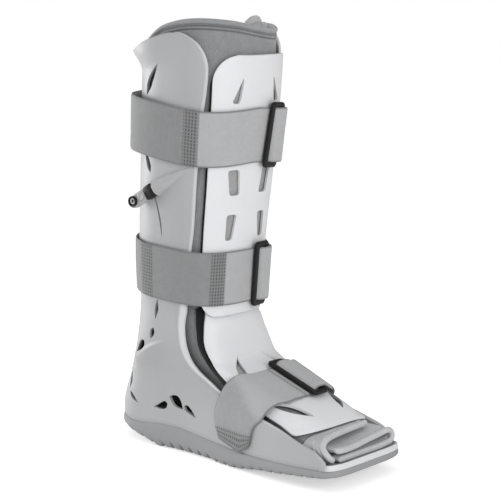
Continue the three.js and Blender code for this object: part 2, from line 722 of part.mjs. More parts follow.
// Binding rolled over the liner's upper edge
function linerBinding() {
  const rings = [];
  const count = 28;
  for (let i = 0; i < count; i += 1) {
    const turn = -180 + (360 * i) / count;
    const height = atZ(read(rimTurns, 'turn', turn, 'up'));
    const middle = formPoint(atZ(1), turn, linerOff(atZ(1)) - linerWall / 2);
    const out = new THREE.Vector3(middle.x - legCentre, middle.y, 0).normalize();
    rings.push([0, 1, 2, 3, 4].map((k) => {
      const a = (Math.PI / 2.5) * (k + 0.25);
      const wide = (linerWall / 2 + 0.6) * Math.cos(a);
      const lift = height + 2 * gap + bindingRadius * (1 + Math.sin(a));
      return new THREE.Vector3(middle.x, middle.y, lift).addScaledVector(out, wide);
    }));
  }
  return solid(ringLoop(rings));
}

// Joins rings of points into a closed loop
function ringLoop(rings) {
  const count = rings[0].length;
  const faces = [];
  for (let i = 0; i < rings.length; i += 1) {
    for (let j = 0; j < count; j += 1) {
      const a = i * count + j;
      const b = i * count + ((j + 1) % count);
      const up = (((i + 1) % rings.length) - i) * count;
      faces.push(a, b, b + up, a, b + up, a + up);
    }
  }
  return meshOf(rings.flat(), faces);
}

// Tongue: the overlapped front of the liner, its top rolled in two humps
const tongueRows = [
  { turn: -8, up: 1.0 },
  { turn: 0, up: 1.022 },
  { turn: 8, up: 1.032 },
  { turn: 15, up: 1.024 },
  { turn: 21, up: 1.006 },
  { turn: 30, up: 1.018 },
  { turn: 40, up: 1.008 },
  { turn: 50, up: 0.985 },
];
function tongue() {
  const off = linerOff(atZ(1)) - linerWall - 1.5 * layerRoom;
  const turns = heights(-8, 50, 12);
  const grid = [0, 0.6, 0.88, 0.97, 1].map((share, i) => turns.map((turn) => {
    const top = read(tongueRows, 'turn', turn, 'up');
    return formPoint(mix(atZ(0.88), atZ(top), share), turn, off - [0, 0, 0, 0.9, 2.6][i]);
  }));
  return solid(sheet(grid, linerWall * 0.8));
}

// The two ends of the liner folded over the toes: lines across the boot, from the near side
const outerFoldRows = [
  { across: -0.73, up: 0.0695, reach: 0.965 },
  { across: -0.83, up: 0.079, reach: 0.962 },
  { across: -0.868, up: 0.0935, reach: 0.95 },
  { across: -0.84, up: 0.102, reach: 0.94 },
  { across: -0.76, up: 0.1105, reach: 0.935 },
  { across: -0.6, up: 0.1145, reach: 0.93 },
  { across: -0.2, up: 0.117, reach: 0.925 },
  { across: 0.25, up: 0.1165, reach: 0.918 },
  { across: 0.55, up: 0.1135, reach: 0.905 },
];
const innerFoldRows = [
  { across: -0.66, up: 0.0705, reach: 0.97 },
  { across: 0.0, up: 0.07, reach: 0.97 },
  { across: 0.6, up: 0.0705, reach: 0.97 },
  { across: 0.83, up: 0.0745, reach: 0.966 },
  { across: 0.875, up: 0.087, reach: 0.962 },
  { across: 0.8, up: 0.096, reach: 0.96 },
  { across: 0.5, up: 0.0955, reach: 0.963 },
  { across: 0.1, up: 0.0925, reach: 0.967 },
  { across: -0.3, up: 0.089, reach: 0.97 },
  { across: -0.6, up: 0.09, reach: 0.97 },
  { across: -0.73, up: 0.0935, reach: 0.966 },
];
// The lowest layer rests on the shell's floor, the highest follows the shell's height
const flapLow = soleTop(0.97 * soleLength) + soleRoom + floorWall + flapRoom + flapWall / 2;
const lowestUp = 0.07;
const highestUp = 0.117;
const flapHeight = (up) => mix(flapLow, atZ(highestUp), (up - lowestUp) / (highestUp - lowestUp));
function toeFold(rows, fall) {
  const line = new THREE.CatmullRomCurve3(rows.map((row) =>
    new THREE.Vector3(row.reach * soleLength, row.across * forefootHalf, flapHeight(row.up))));
  const path = line.getSpacedPoints(21);
  const grid = heights(0, 1, 2).map((share) => path.map((p) => {
    const high = ease(flapHeight(0.08), flapHeight(0.12), p.z);
    const start = atX(toeCut + 0.004);
    return new THREE.Vector3(mix(start, p.x, share), p.y, p.z + high * fall * (1 - share));
  }));
  return solid(sheet(grid, flapWall, false, true));
}

// A strap's line as distances along it and stands off the form, with a step every few mm
function strapLine(knots, reach, closed) {
  const points = knots.map(({ at, stand }) => new THREE.Vector3(at * reach, stand, 0));
  if (closed) points.push(points[0].clone().add(new THREE.Vector3(360 * reach, 0, 0)));
  const line = new THREE.CatmullRomCurve3(points, false, 'centripetal');
  const spans = points.length - 1;
  const places = points.slice(0, -1).flatMap((p, i) => {
    const steps = Math.max(1, Math.round((points[i + 1].x - p.x) / 11));
    return Array.from({ length: steps }, (_, k) => (i + k / steps) / spans);
  });
  return [...places, 1].map((place) => line.getPoint(place));
}

// How the two leg straps rise from the shin to the back
const upperRise = [
  { turn: 0, up: 0.754 },
  { turn: 45, up: 0.756 },
  { turn: 77, up: 0.769 },
  { turn: 97, up: 0.779 },
  { turn: 120, up: 0.788 },
  { turn: 180, up: 0.795 },
];
const lowerRise = [
  { turn: 0, up: 0.4305 },
  { turn: 45, up: 0.4315 },
  { turn: 75, up: 0.4395 },
  { turn: 97, up: 0.449 },
  { turn: 120, up: 0.457 },
  { turn: 180, up: 0.464 },
];
const legStrapPoint = (rise) => (turn, across, stand) => {
  const around = ((((turn + 180) % 360) + 360) % 360) - 180;
  const middle = atZ(read(rise, 'turn', Math.abs(around), 'up'));
  const level = formPoint(middle, around, stand);
  const edge = formPoint(middle + across * strapWidth, around, stand);
  return new THREE.Vector3(edge.x, edge.y, level.z + across * strapWidth);
};

// Once round the leg: under the ring's near bar, up through it and over its far bar
const lie = strapWall / 2 + layerRoom;
const over = (strapWall + ringThick) / 2 + layerRoom;
const legKnots = (ring, stand, slack) => [
  { at: ring - 7.6, stand: lie },
  { at: ring - 5.2, stand: lie + 0.2 },
  { at: ring - 3.4, stand: mix(lie, stand + over, 0.3) },
  { at: ring - 2.6, stand: mix(lie, stand + over, 0.7) },
  { at: ring - 0.4, stand: stand + over - 0.2 },
  { at: ring + 3, stand: stand + over },
  { at: ring + 9, stand: stand + over + 0.5 },
  { at: ring + 12, stand: stand + over - 1 },
  { at: ring + 17, stand: mix(lie, stand + over, 0.4) },
  { at: ring + 24, stand: lie + 0.3 },
  { at: ring + 32, stand: lie },
  { at: ring + 60, stand: lie },
  { at: ring + 90, stand: lie },
  { at: 145, stand: lie + slack * 0.2 },
  { at: 180, stand: lie + slack * 0.4 },
  { at: 200, stand: lie + slack * 0.8 },
  { at: 220, stand: lie + slack },
  { at: 240, stand: lie + slack * 0.9 },
  { at: 260, stand: lie + slack * 0.5 },
  { at: 280, stand: lie + slack * 0.12 },
  { at: 300, stand: lie },
  { at: 320, stand: lie },
  { at: ring + 340, stand: lie },
];
const ringTurn = 18;
const upperStand = 5.6;
const lowerStand = 5.4;
function legStrap(rise, knots) {
  const turnLength = 1.15;
  const line = strapLine(knots, turnLength, true).slice(0, -1);
  const point = legStrapPoint(rise);
  const grid = heights(-0.5, 0.5, 1).map((across) =>
    line.map((p) => point(p.x / turnLength, across, p.y)));
  return solid(sheet(grid, strapWall, true, true));
}

// Ring: a rectangular loop of square wire, lying on the boot
function ringLoopSolid(centre, out, up) {
  const rounded = (length, width, radius) => {
    const shape = new THREE.Shape();
    const a = length / 2;
    const b = width / 2;
    shape.moveTo(-a + radius, -b);
    shape.lineTo(a - radius, -b);
    shape.lineTo(a, -b + radius);
    shape.lineTo(a, b - radius);
    shape.lineTo(a - radius, b);
    shape.lineTo(-a + radius, b);
    shape.lineTo(-a, b - radius);
    shape.lineTo(-a, -b + radius);
    shape.closePath();
    return shape;
  };
  const shape = rounded(ringLength, ringWidth, 1.6);
  shape.holes.push(rounded(ringLength - 2 * ringWire, ringWidth - 2 * ringWire, 0.6));
  const geometry = new THREE.ExtrudeGeometry(shape, { depth: ringThick, bevelEnabled: false });
  geometry.translate(0, 0, -ringThick / 2);
  const side = out.clone().cross(up).normalize();
  const basis = new THREE.Matrix4().makeBasis(up, side.negate(), out).setPosition(centre);
  geometry.applyMatrix4(basis);
  return solid(geometry);
}
function legRing(rise, turn, stand) {
  const point = legStrapPoint(rise);
  const centre = point(turn, 0, stand);
  const top = point(turn, 0.5, stand);
  const side = point(turn + 6, 0, stand).sub(point(turn - 6, 0, stand)).normalize();
  const up = top.sub(centre).normalize();
  const out = side.clone().cross(up).normalize();
  return ringLoopSolid(centre, out, out.clone().cross(side).normalize());
}

// The foot strap's two edges across the boot, near side first; high rows lie on the instep
const footRows = [
  { high: 0, rear: 0.519, rearAt: 0.064, front: 0.648, frontAt: 0.067 },
  { high: 0, rear: 0.503, rearAt: 0.09, front: 0.658, frontAt: 0.09 },
  { high: 0, rear: 0.5, rearAt: 0.125, front: 0.668, frontAt: 0.115 },
  { high: 0, rear: 0.528, rearAt: 0.17, front: 0.7, frontAt: 0.137 },
  { high: 1, rear: 0.566, rearAt: -0.755, front: 0.732, frontAt: -0.75 },
  { high: 1, rear: 0.585, rearAt: -0.6, front: 0.757, frontAt: -0.58 },
  { high: 1, rear: 0.594, rearAt: -0.4, front: 0.758, frontAt: -0.38 },
  { high: 1, rear: 0.594, rearAt: -0.17, front: 0.758, frontAt: -0.16 },
  { high: 1, rear: 0.594, rearAt: 0.055, front: 0.758, frontAt: 0.055 },
  { high: 1, rear: 0.594, rearAt: 0.2, front: 0.758, frontAt: 0.2 },
  { high: 1, rear: 0.594, rearAt: 0.36, front: 0.758, frontAt: 0.36 },
  { high: 1, rear: 0.584, rearAt: 0.54, front: 0.76, frontAt: 0.54 },
  { high: 1, rear: 0.572, rearAt: 0.72, front: 0.742, frontAt: 0.7 },
  { high: 0, rear: 0.545, rearAt: 0.17, front: 0.712, frontAt: 0.137 },
  { high: 0, rear: 0.52, rearAt: 0.125, front: 0.69, frontAt: 0.115 },
  { high: 0, rear: 0.515, rearAt: 0.095, front: 0.68, frontAt: 0.095 },
  { high: 0, rear: 0.515, rearAt: 0.07, front: 0.675, frontAt: 0.07 },
];
function footLinePoint(row, along, at, near) {
  const px = atX(along);
  if (!row.high) {
    const pz = atZ(at);
    const width = halfAt(section(pz, 0), px);
    return new THREE.Vector3(px, near ? -width : width, pz);
  }
  const py = at * forefootHalf;
  let low = atZ(0.07);
  let high = atZ(0.42);
  for (let i = 0; i < 30; i += 1) {
    const middle = (low + high) / 2;
    if (px < section(middle, saddleOff + 0.2).front &&
      halfAt(section(middle, saddleOff + 0.2), px) > Math.abs(py)) low = middle;
    else high = middle;
  }
  return new THREE.Vector3(px, py, low);
}
function footLines() {
  const edge = (along, at) => new THREE.CatmullRomCurve3(footRows.map((row, i) =>
    footLinePoint(row, row[along], row[at], i < footRows.length / 2)));
  return [edge('rear', 'rearAt'), edge('front', 'frontAt')];
}
const [rearLine, frontLine] = footLines();
const lastRow = footRows.length - 1;
function footPoint(place, across, stand) {
  const pointAt = (at, share) => {
    const t = Math.min(Math.max(at / lastRow, 0), 1);
    return rearLine.getPoint(t).lerp(frontLine.getPoint(t), share);
  };
  const along = pointAt(place + 0.25, 0.5).sub(pointAt(place - 0.25, 0.5));
  const wide = pointAt(place, 1).sub(pointAt(place, 0));
  const out = wide.clone().cross(along).normalize();
  const tip = 5.5 * (1 - ease(0, 1, place));
  const point = pointAt(place, across + 0.5).addScaledVector(out, stand);
  point.z -= tip * Math.max(1 - Math.abs(across - 0.17) * 3, 0);
  return point;
}
const footRingAt = 9;
const footStand = 5;
const footKnots = [
  { at: 0, stand: lie },
  { at: 1, stand: lie },
  { at: 2, stand: lie },
  { at: 3, stand: lie + 0.3 },
  { at: 3.5, stand: lie + 2.4 },
  { at: 4, stand: lie + 3.6 },
  { at: 4.6, stand: lie + 3 },
  { at: 5.4, stand: lie + 1 },
  { at: 6.4, stand: lie + 0.2 },
  { at: 7.6, stand: lie },
  { at: 8.2, stand: lie + 0.1 },
  { at: 8.5, stand: lie + 2.6 },
  { at: 8.75, stand: lie + 5.8 },
  { at: 9.1, stand: footStand + over - 0.1 },
  { at: 9.6, stand: footStand + over },
  { at: 10.1, stand: footStand + over },
  { at: 10.6, stand: lie + 4.6 },
  { at: 11.4, stand: lie + 1.6 },
  { at: 12, stand: lie + 3 },
  { at: 12.5, stand: lie + 3 },
  { at: 13, stand: lie + 0.4 },
  { at: 14, stand: lie },
  { at: 15, stand: lie },
  { at: 16, stand: lie },
];
function footStrap() {
  const reach = 9;
  const line = strapLine(footKnots, reach, false);
  const grid = heights(-0.5, 0.5, 3).map((across) =>
    line.map((p) => footPoint(p.x / reach, across, p.y)));
  return solid(sheet(grid, strapWall, false, true));
}
function footRing() {
  const centre = footPoint(footRingAt, 0, footStand);
  const bar = footPoint(footRingAt, 0.5, footStand).sub(footPoint(footRingAt, -0.5, footStand)).normalize();
  const side = footPoint(footRingAt + 0.6, 0, footStand)
    .sub(footPoint(footRingAt - 0.6, 0, footStand)).normalize();
  const out = bar.clone().cross(side).normalize();
  return ringLoopSolid(centre, out, bar);
}

// Air valve: a block in the fairing's mouth, a rounded body with a cap, and a hose port
const fairingMouth = { along: 0.312, up: 0.6405 };
const fairingTip = { along: 0.436, up: 0.6935 };
const valveSink = 1.2;
function fairing() {
  const axis = new THREE.Vector2(
    atX(fairingTip.along - fairingMouth.along),
    atZ(fairingTip.up - fairingMouth.up),
  );
  const across = new THREE.Vector2(-axis.y, axis.x).normalize();
  const rings = [0, 0.12, 0.3, 0.5, 0.7, 0.86, 0.97].map((t) => {
    const width = 7.4 * Math.pow(1 - t, 0.75) + 0.5;
    const height = 7.2 * Math.pow(1 - t, 1.1) + 0.2 + valveSink;
    return heights(0, 11, 11).map((k) => {
      const a = (2 * Math.PI * k) / 12;
      const side = Math.cos(a) * width;
      const px = atX(fairingMouth.along) + axis.x * t + across.x * side;
      const pz = atZ(fairingMouth.up) + axis.y * t + across.y * side;
      const rise = Math.max(Math.sin(a), -0.2) * height - valveSink;
      return new THREE.Vector3(px, -(halfAt(section(pz, 0), px) + rise), pz);
    });
  });
  return solid(loft(rings));
}
const valveAxis = Math.atan2(
  atZ(fairingTip.up - fairingMouth.up),
  atX(fairingTip.along - fairingMouth.along),
);
function alongValve(geometry, back, drop) {
  geometry.rotateX(Math.PI / 2);
  geometry.rotateY(-valveAxis);
  const px = atX(fairingMouth.along) - back * Math.cos(valveAxis);
  const pz = atZ(fairingMouth.up) - back * Math.sin(valveAxis);
  geometry.translate(px, -(halfAt(section(atZ(fairingMouth.up), 0), atX(fairingMouth.along)) + drop), pz);
  return solid(geometry);
}
const valveBlockLength = 10.5;
const valveWidth = 13;
const valveThick = 8.5;
function plate(length, width, thick, corner) {
  const shape = new THREE.Shape();
  const a = length / 2;
  const b = width / 2;
  shape.moveTo(-a + corner, -b);
  shape.lineTo(a, -b);
  shape.lineTo(a, b);
  shape.lineTo(-a + corner, b);
  shape.absarc(-a + corner, 0, b, Math.PI / 2, (3 * Math.PI) / 2, false);
  return new THREE.ExtrudeGeometry(shape, { depth: thick, bevelEnabled: false, curveSegments: 5 });
}
const valveBlock = () => alongValve(
  new THREE.BoxGeometry(valveBlockLength, valveWidth, valveThick),
  valveBlockLength / 2 + gap,
  valveThick / 2 + 0.6,
);
const valveBodyLength = 26;
function valveBody() {
  const body = plate(valveBodyLength, valveWidth * 0.88, valveThick * 0.9, valveWidth * 0.44);
  return alongValve(body, valveBlockLength + 2 * gap + valveBodyLength / 2, 1.2);
}
const roundPart = (radius, length, back, drop) => {
  const geometry = new THREE.CylinderGeometry(radius, radius, length, 14);
  geometry.rotateX(Math.PI / 2);
  geometry.translate(0, 0, length / 2);
  return alongValve(geometry, back, drop);
};
const valveTop = 1.2 + valveThick * 0.9 + gap;
const valveCap = () => roundPart(3.7, 1.4, valveBlockLength + 5.5, valveTop);
const hosePort = () => roundPart(5, 3.4, valveBlockLength + valveBodyLength - 6.5, valveTop);

// The boot's pieces
const finishes = {
  shell: { color: 0xb4b5b8, roughness: 0.45 },
  panel: { color: 0xe6e6ea, roughness: 0.4 },
  pad: { color: 0x1c1c1e, roughness: 0.9 },
  sole: { color: 0x98999c, roughness: 0.8 },
  knit: { color: 0x8b8c90, roughness: 0.95 },
  webbing: { color: 0x9fa0a3, roughness: 0.9 },
  ring: { color: 0x232325, roughness: 0.5 },
  valve: { color: 0xb9babd, roughness: 0.4 },
};
// The origin is on the floor under the middle of the flat part of the sole
const originAt = (restLug + 0.5) * lugPitch - 2.4;
const boot = new THREE.Group();
function piece(name, made, finish) {
  const { color, roughness } = finishes[finish];
  const material = new THREE.MeshStandardMaterial({ color, roughness, metalness: 0 });
  const mesh = new THREE.Mesh(shapeOf(made).translate(-originAt, 0, 0), material);
  mesh.name = name;
  boot.add(mesh);
}

piece('outsole', outsole(), 'sole');
piece('rear_shell', rearShell(), 'shell');
piece('front_panel', frontPanel(), 'panel');
piece('instep_panel', instepPanel(), 'panel');
piece('shin_pad', shinPad(), 'pad');
piece('instep_pad', instepPad(), 'pad');
piece('liner', liner(), 'knit');
piece('liner_binding', linerBinding(), 'knit');
piece('tongue', tongue(), 'knit');
piece('toe_flap_outer', toeFold(outerFoldRows, -3), 'knit');
piece('toe_flap_inner', toeFold(innerFoldRows, 0), 'knit');
piece('strap_upper', legStrap(upperRise, legKnots(ringTurn, upperStand, 7)), 'webbing');
piece('strap_lower', legStrap(lowerRise, legKnots(ringTurn - 1, lowerStand, 0.8)), 'webbing');
piece('strap_foot', footStrap(), 'webbing');
piece('ring_upper', legRing(upperRise, ringTurn, upperStand), 'ring');
piece('ring_lower', legRing(lowerRise, ringTurn - 1, lowerStand), 'ring');
piece('ring_foot', footRing(), 'ring');
piece('valve_block', valveBlock(), 'ring');
piece('valve_body', valveBody(), 'valve');
piece('valve_cap', valveCap(), 'valve');
piece('hose_port', hosePort(), 'ring');

export default boot;
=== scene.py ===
# Tall walking boot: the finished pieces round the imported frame.
# Lengths in the tables are millimetres or shares of the boot's sizes; newPiece turns them into metres.
import math

import bmesh
import bpy
from mathutils import Matrix, Vector, noise


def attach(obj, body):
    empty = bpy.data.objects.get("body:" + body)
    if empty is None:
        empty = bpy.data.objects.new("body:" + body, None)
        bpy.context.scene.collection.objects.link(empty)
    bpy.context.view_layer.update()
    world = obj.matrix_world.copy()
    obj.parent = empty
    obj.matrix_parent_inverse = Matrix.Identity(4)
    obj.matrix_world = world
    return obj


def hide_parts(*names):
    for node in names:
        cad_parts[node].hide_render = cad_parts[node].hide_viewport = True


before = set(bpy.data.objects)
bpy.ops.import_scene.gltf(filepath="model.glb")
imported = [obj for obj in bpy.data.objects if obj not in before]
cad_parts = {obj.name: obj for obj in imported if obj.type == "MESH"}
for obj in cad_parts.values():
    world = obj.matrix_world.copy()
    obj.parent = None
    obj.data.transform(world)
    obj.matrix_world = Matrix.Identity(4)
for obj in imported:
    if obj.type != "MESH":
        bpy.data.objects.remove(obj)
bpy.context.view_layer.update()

bpy.ops.object.select_all(action="DESELECT")

bootSize = {
    "soleLength": 292.0, "heelWidth": 82.0, "forefootWidth": 109.0, "shellHeight": 398.6,
    "legSetback": 43.0, "legWidth": 128.0, "originAt": 115.4,
}
shellWall, panelWall, padWall, linerWall = 3.2, 2.4, 1.2, 6.5
layerRoom, soleRoom, gap = 1.0, 0.9, 0.4
heelHalf = bootSize["heelWidth"] / 2
forefootHalf = bootSize["forefootWidth"] / 2
legHalf = bootSize["legWidth"] / 2
soleLength = bootSize["soleLength"]

soleRows = [  # along, top, bottom
    (0.0, 0.076, 0.056), (0.06, 0.074, 0.046), (0.12, 0.069, 0.029), (0.18, 0.071, 0.013),
    (0.23, 0.077, 0.0), (0.31, 0.079, 0.0), (0.39, 0.072, 0.0), (0.48, 0.065, 0.0), (0.565, 0.06, 0.0),
    (0.63, 0.059, 0.008), (0.69, 0.059, 0.018), (0.75, 0.06, 0.024), (0.82, 0.063, 0.032),
    (0.88, 0.065, 0.038), (0.94, 0.068, 0.044), (1.0, 0.072, 0.053),
]
outlineRows = [  # along, half
    (0.14, 0.752), (0.24, 0.745), (0.34, 0.737), (0.45, 0.78), (0.55, 0.845), (0.65, 0.918), (0.74, 0.972),
    (0.82, 1.0), (0.91, 1.0), (1.0, 0.97),
]
formRows = [  # up, back, mid, ball, front, half, square
    (0.05, 0.02, 0.14, 0.932, 1.0, 0.648, 4.4), (0.095, 0.047, 0.144, 0.897, 0.976, 0.678, 3.0),
    (0.11, 0.081, 0.149, 0.8, 0.949, 0.687, 3.0), (0.126, 0.128, 0.156, 0.685, 0.921, 0.695, 2.8),
    (0.14, 0.186, 0.164, 0.6, 0.89, 0.703, 3.2), (0.158, 0.256, 0.175, 0.52, 0.839, 0.719, 3.4),
    (0.178, 0.326, 0.188, 0.49, 0.772, 0.75, 3.4), (0.198, 0.407, 0.202, 0.47, 0.692, 0.775, 3.3),
    (0.218, 0.488, 0.219, 0.45, 0.62, 0.81, 3.8), (0.243, 0.581, 0.24, 0.41, 0.541, 0.825, 4.2),
    (0.286, 0.686, 0.26, 0.355, 0.502, 0.835, 3.8), (0.321, 0.721, 0.274, 0.318, 0.491, 0.84, 3.2),
    (0.349, 0.744, 0.281, 0.296, 0.483, 0.844, 2.5), (0.376, 0.767, 0.284, 0.286, 0.482, 0.859, 2.5),
    (0.452, 0.767, 0.291, 0.291, 0.487, 0.898, 2.6), (0.547, 0.826, 0.301, 0.301, 0.498, 0.945, 2.6),
    (0.652, 0.895, 0.315, 0.315, 0.515, 0.977, 2.6), (0.753, 0.93, 0.325, 0.325, 0.533, 0.984, 2.6),
    (0.866, 0.965, 0.337, 0.337, 0.553, 0.992, 2.6), (1.0, 1.0, 0.346, 0.346, 0.563, 1.0, 2.6),
    (1.04, 1.0, 0.346, 0.346, 0.563, 1.0, 2.6),
]
rimRows = [  # up, along
    (0.053, 0.969), (0.068, 0.964), (0.079, 0.951), (0.09, 0.933), (0.1, 0.906), (0.11, 0.858),
    (0.123, 0.801), (0.137, 0.716), (0.15, 0.634), (0.163, 0.565), (0.176, 0.518), (0.191, 0.483),
    (0.215, 0.435), (0.246, 0.404), (0.299, 0.389), (0.366, 0.39), (0.43, 0.403), (0.497, 0.42),
    (0.552, 0.433), (0.695, 0.456), (0.82, 0.48), (0.87, 0.491), (0.916, 0.497), (0.94, 0.494),
    (0.966, 0.481), (0.989, 0.451), (1.0, 0.404),
]


def atX(share):
    return share * soleLength


def atZ(share):
    return share * bootSize["shellHeight"]


def mix(a, b, t):
    return a + (b - a) * t


def ease(low, high, at):
    t = min(max((at - low) / (high - low), 0), 1)
    return t * t * (3 - 2 * t)


def steps(start, end, count):
    return [start + (end - start) * i / count for i in range(count + 1)]


def readRow(rows, at, column):  # a smooth curve through a table's rows, the first column being the place
    i = 0
    while i < len(rows) - 2 and at > rows[i + 1][0]:
        i += 1
    a, b = rows[i], rows[i + 1]
    before, after = rows[max(i - 1, 0)], rows[min(i + 2, len(rows) - 1)]
    span = b[0] - a[0]
    t = min(max((at - a[0]) / span, 0), 1)
    slopeA = (b[column] - before[column]) / (b[0] - before[0]) * span
    slopeB = (after[column] - a[column]) / (after[0] - a[0]) * span
    return ((2 * t**3 - 3 * t**2 + 1) * a[column] + (t**3 - 2 * t**2 + t) * slopeA
            + (3 * t**2 - 2 * t**3) * b[column] + (t**3 - t**2) * slopeB)


def squarer(share, power):  # a sine or cosine bent towards a squarer round
    return math.copysign(abs(share) ** power, share)


def oval(t, power):
    return max(1 - abs(t) ** power, 0) ** (1 / power)


def soleTop(x):
    return readRow(soleRows, x / soleLength, 1) * soleLength


def soleBottom(x):
    return max(readRow(soleRows, x / soleLength, 2), 0) * soleLength


def rimAt(z):
    return readRow(rimRows, z / atZ(1), 1) * soleLength


def section(z, off):  # the form's level section: its ends, its widest part and its squareness
    up = z / atZ(1)
    slope = (readRow(formRows, up + 0.01, 4) - readRow(formRows, up - 0.01, 4)) * soleLength / (0.02 * atZ(1))
    return {
        "back": readRow(formRows, up, 1) * bootSize["legSetback"] - off,
        "mid": readRow(formRows, up, 2) * soleLength,
        "ball": readRow(formRows, up, 3) * soleLength,
        "front": readRow(formRows, up, 4) * soleLength + off * math.sqrt(1 + min(slope * slope, 10)),
        "half": readRow(formRows, up, 5) * legHalf + off,
        "square": readRow(formRows, up, 6),
        "leg": ease(atZ(0.1), atZ(0.29), z),
        "off": off,
    }


def halfAt(s, x):
    lateral = mix(readRow(outlineRows, x / soleLength, 1) * forefootHalf + s["off"], s["half"], s["leg"])
    if x < s["mid"]:
        return lateral * oval((s["mid"] - x) / (s["mid"] - s["back"]), 2.2)
    if x > s["ball"]:
        return lateral * oval((x - s["ball"]) / (s["front"] - s["ball"]), s["square"])
    return lateral


def spread(points, count, rate=1.0):  # equal steps along a line of points, closer at its start above 1
    along = [0.0]
    for a, b in zip(points, points[1:]):
        along.append(along[-1] + (b - a).length)
    out, j = [], 1
    for i in range(count + 1):
        want = along[-1] * (i / count) ** rate
        while j < len(points) - 1 and along[j] < want:
            j += 1
        t = (want - along[j - 1]) / max(along[j] - along[j - 1], 1e-9)
        out.append(points[j - 1].lerp(points[j], min(t, 1)))
    return out


def halfOutline(z, off, reach, count, rate=1.0):  # half of a level section, from its back
    s = section(z, off)
    end = min(reach, s["front"])
    fine = 150
    points = []
    for i in range(fine + 1):
        t = i / fine
        bent = (1 - math.cos(math.pi * t)) / 2 if end >= s["front"] else t * t
        x = s["back"] + (end - s["back"]) * bent
        points.append(Vector((x, halfAt(s, x))))
    points[0].y = 0
    return spread(points, count, rate)


def formPoint(z, angle, off):  # a point of the leg at a height and an angle from the toe's direction
    s = section(z, off)
    c, n = math.cos(math.radians(angle)), math.sin(math.radians(angle))
    power = s["square"] if c > 0 else 2.2
    reach = s["front"] - s["mid"] if c > 0 else s["mid"] - s["back"]
    scale = ((abs(c) / reach) ** power + (abs(n) / s["half"]) ** power) ** (-1 / power)
    return Vector((s["mid"] + scale * c, scale * n, z))


def curvePoint(points, t):  # a centripetal Catmull-Rom curve through points, t from 0 to 1
    place = min(max(t, 0), 1) * (len(points) - 1)
    i = min(int(place), len(points) - 2)
    w = place - i
    p1, p2 = points[i], points[i + 1]
    p0 = points[i - 1] if i > 0 else p1 * 2 - p2
    p3 = points[i + 2] if i + 2 < len(points) else p2 * 2 - p1
    d0, d1, d2 = (max((b - a).length ** 0.5, 1e-3) for a, b in ((p0, p1), (p1, p2), (p2, p3)))
    m1 = ((p1 - p0) / d0 - (p2 - p0) / (d0 + d1) + (p2 - p1) / d1) * d1
    m2 = ((p2 - p1) / d1 - (p3 - p1) / (d1 + d2) + (p3 - p2) / d2) * d1
    return p1 + m1 * w + (p2 * 3 - p1 * 3 - m1 * 2 - m2) * w**2 + (p1 * 2 - p2 * 2 + m1 + m2) * w**3


def gridNormals(grid, closed):
    rows, columns = len(grid), len(grid[0])
    out = []
    for i in range(rows):
        row = []
        for j in range(columns):
            nextOne = grid[i][(j + 1) % columns] if closed else grid[i][min(j + 1, columns - 1)]
            lastOne = grid[i][(j - 1) % columns] if closed else grid[i][max(j - 1, 0)]
            up = grid[min(i + 1, rows - 1)][j] - grid[max(i - 1, 0)][j]
            row.append((nextOne - lastOne).cross(up).normalized())
        out.append(row)
    return out


def newPiece(name, points, faces, uvs=None):  # millimetres from the heel become metres in the frame
    mesh = bpy.data.meshes.new(name)
    origin = bootSize["originAt"]
    mesh.from_pydata([((p[0] - origin) / 1000, p[1] / 1000, p[2] / 1000) for p in points], [], faces)
    if uvs:
        layer = mesh.uv_layers.new(name="UVMap")
        for polygon, corners in zip(mesh.polygons, uvs):
            for loop, uv in zip(polygon.loop_indices, corners):
                layer.data[loop].uv = uv
    made = bpy.data.objects.new(name, mesh)
    bpy.context.scene.collection.objects.link(made)
    return made


def sheetPiece(name, grid, thickness, closed=False, middle=False, rounded=0.0, relief=None, uvGrid=None):
    # a wall from a grid of outer points, thinned to nothing over the last bit where its edges are rounded
    normals = gridNormals(grid, closed)
    rows, columns = len(grid), len(grid[0])
    outer, inner = [], []
    for i in range(rows):
        along = [0.0]
        for a, b in zip(grid[i], grid[i][1:]):
            along.append(along[-1] + (b - a).length)
        for j in range(columns):
            share = 1.0
            if rounded:
                low = sum((grid[k + 1][j] - grid[k][j]).length for k in range(min(i, 8)))
                high = sum((grid[k + 1][j] - grid[k][j]).length for k in range(max(i, rows - 9), rows - 1))
                near = min(low if i < 8 else 99, high if i > rows - 10 else 99)
                if not closed:
                    near = min(near, along[j], along[-1] - along[j])
                share = math.sqrt(max(1 - (1 - min(near / rounded, 1)) ** 2, 0)) * 0.98 + 0.02
            shift = (thickness / 2 if middle else 0) + (relief(i, j, grid[i][j]) if relief else 0)
            centre = shift - thickness / 2
            outer.append(grid[i][j] + normals[i][j] * mix(centre, shift, share))
            inner.append(grid[i][j] + normals[i][j] * mix(centre, centre - thickness / 2, share))
    points = outer + inner
    count = len(outer)
    faces, uvs = [], []

    def quad(*corners):
        faces.append([c[0] * count + c[1] * columns + c[2] % columns for c in corners])
        if uvGrid:
            uvs.append([uvGrid(c[1], c[2]) for c in corners])
    last = columns if closed else columns - 1
    for i in range(rows - 1):
        for j in range(last):
            quad((0, i, j), (0, i, j + 1), (0, i + 1, j + 1), (0, i + 1, j))
            quad((1, i, j), (1, i + 1, j), (1, i + 1, j + 1), (1, i, j + 1))
    for j in range(last):
        quad((0, 0, j), (1, 0, j), (1, 0, j + 1), (0, 0, j + 1))
        quad((0, rows - 1, j), (0, rows - 1, j + 1), (1, rows - 1, j + 1), (1, rows - 1, j))
    if not closed:
        for i in range(rows - 1):
            quad((0, i, 0), (0, i + 1, 0), (1, i + 1, 0), (1, i, 0))
            quad((0, i, columns - 1), (1, i, columns - 1), (1, i + 1, columns - 1), (0, i + 1, columns - 1))
    return newPiece(name, points, faces, uvs)


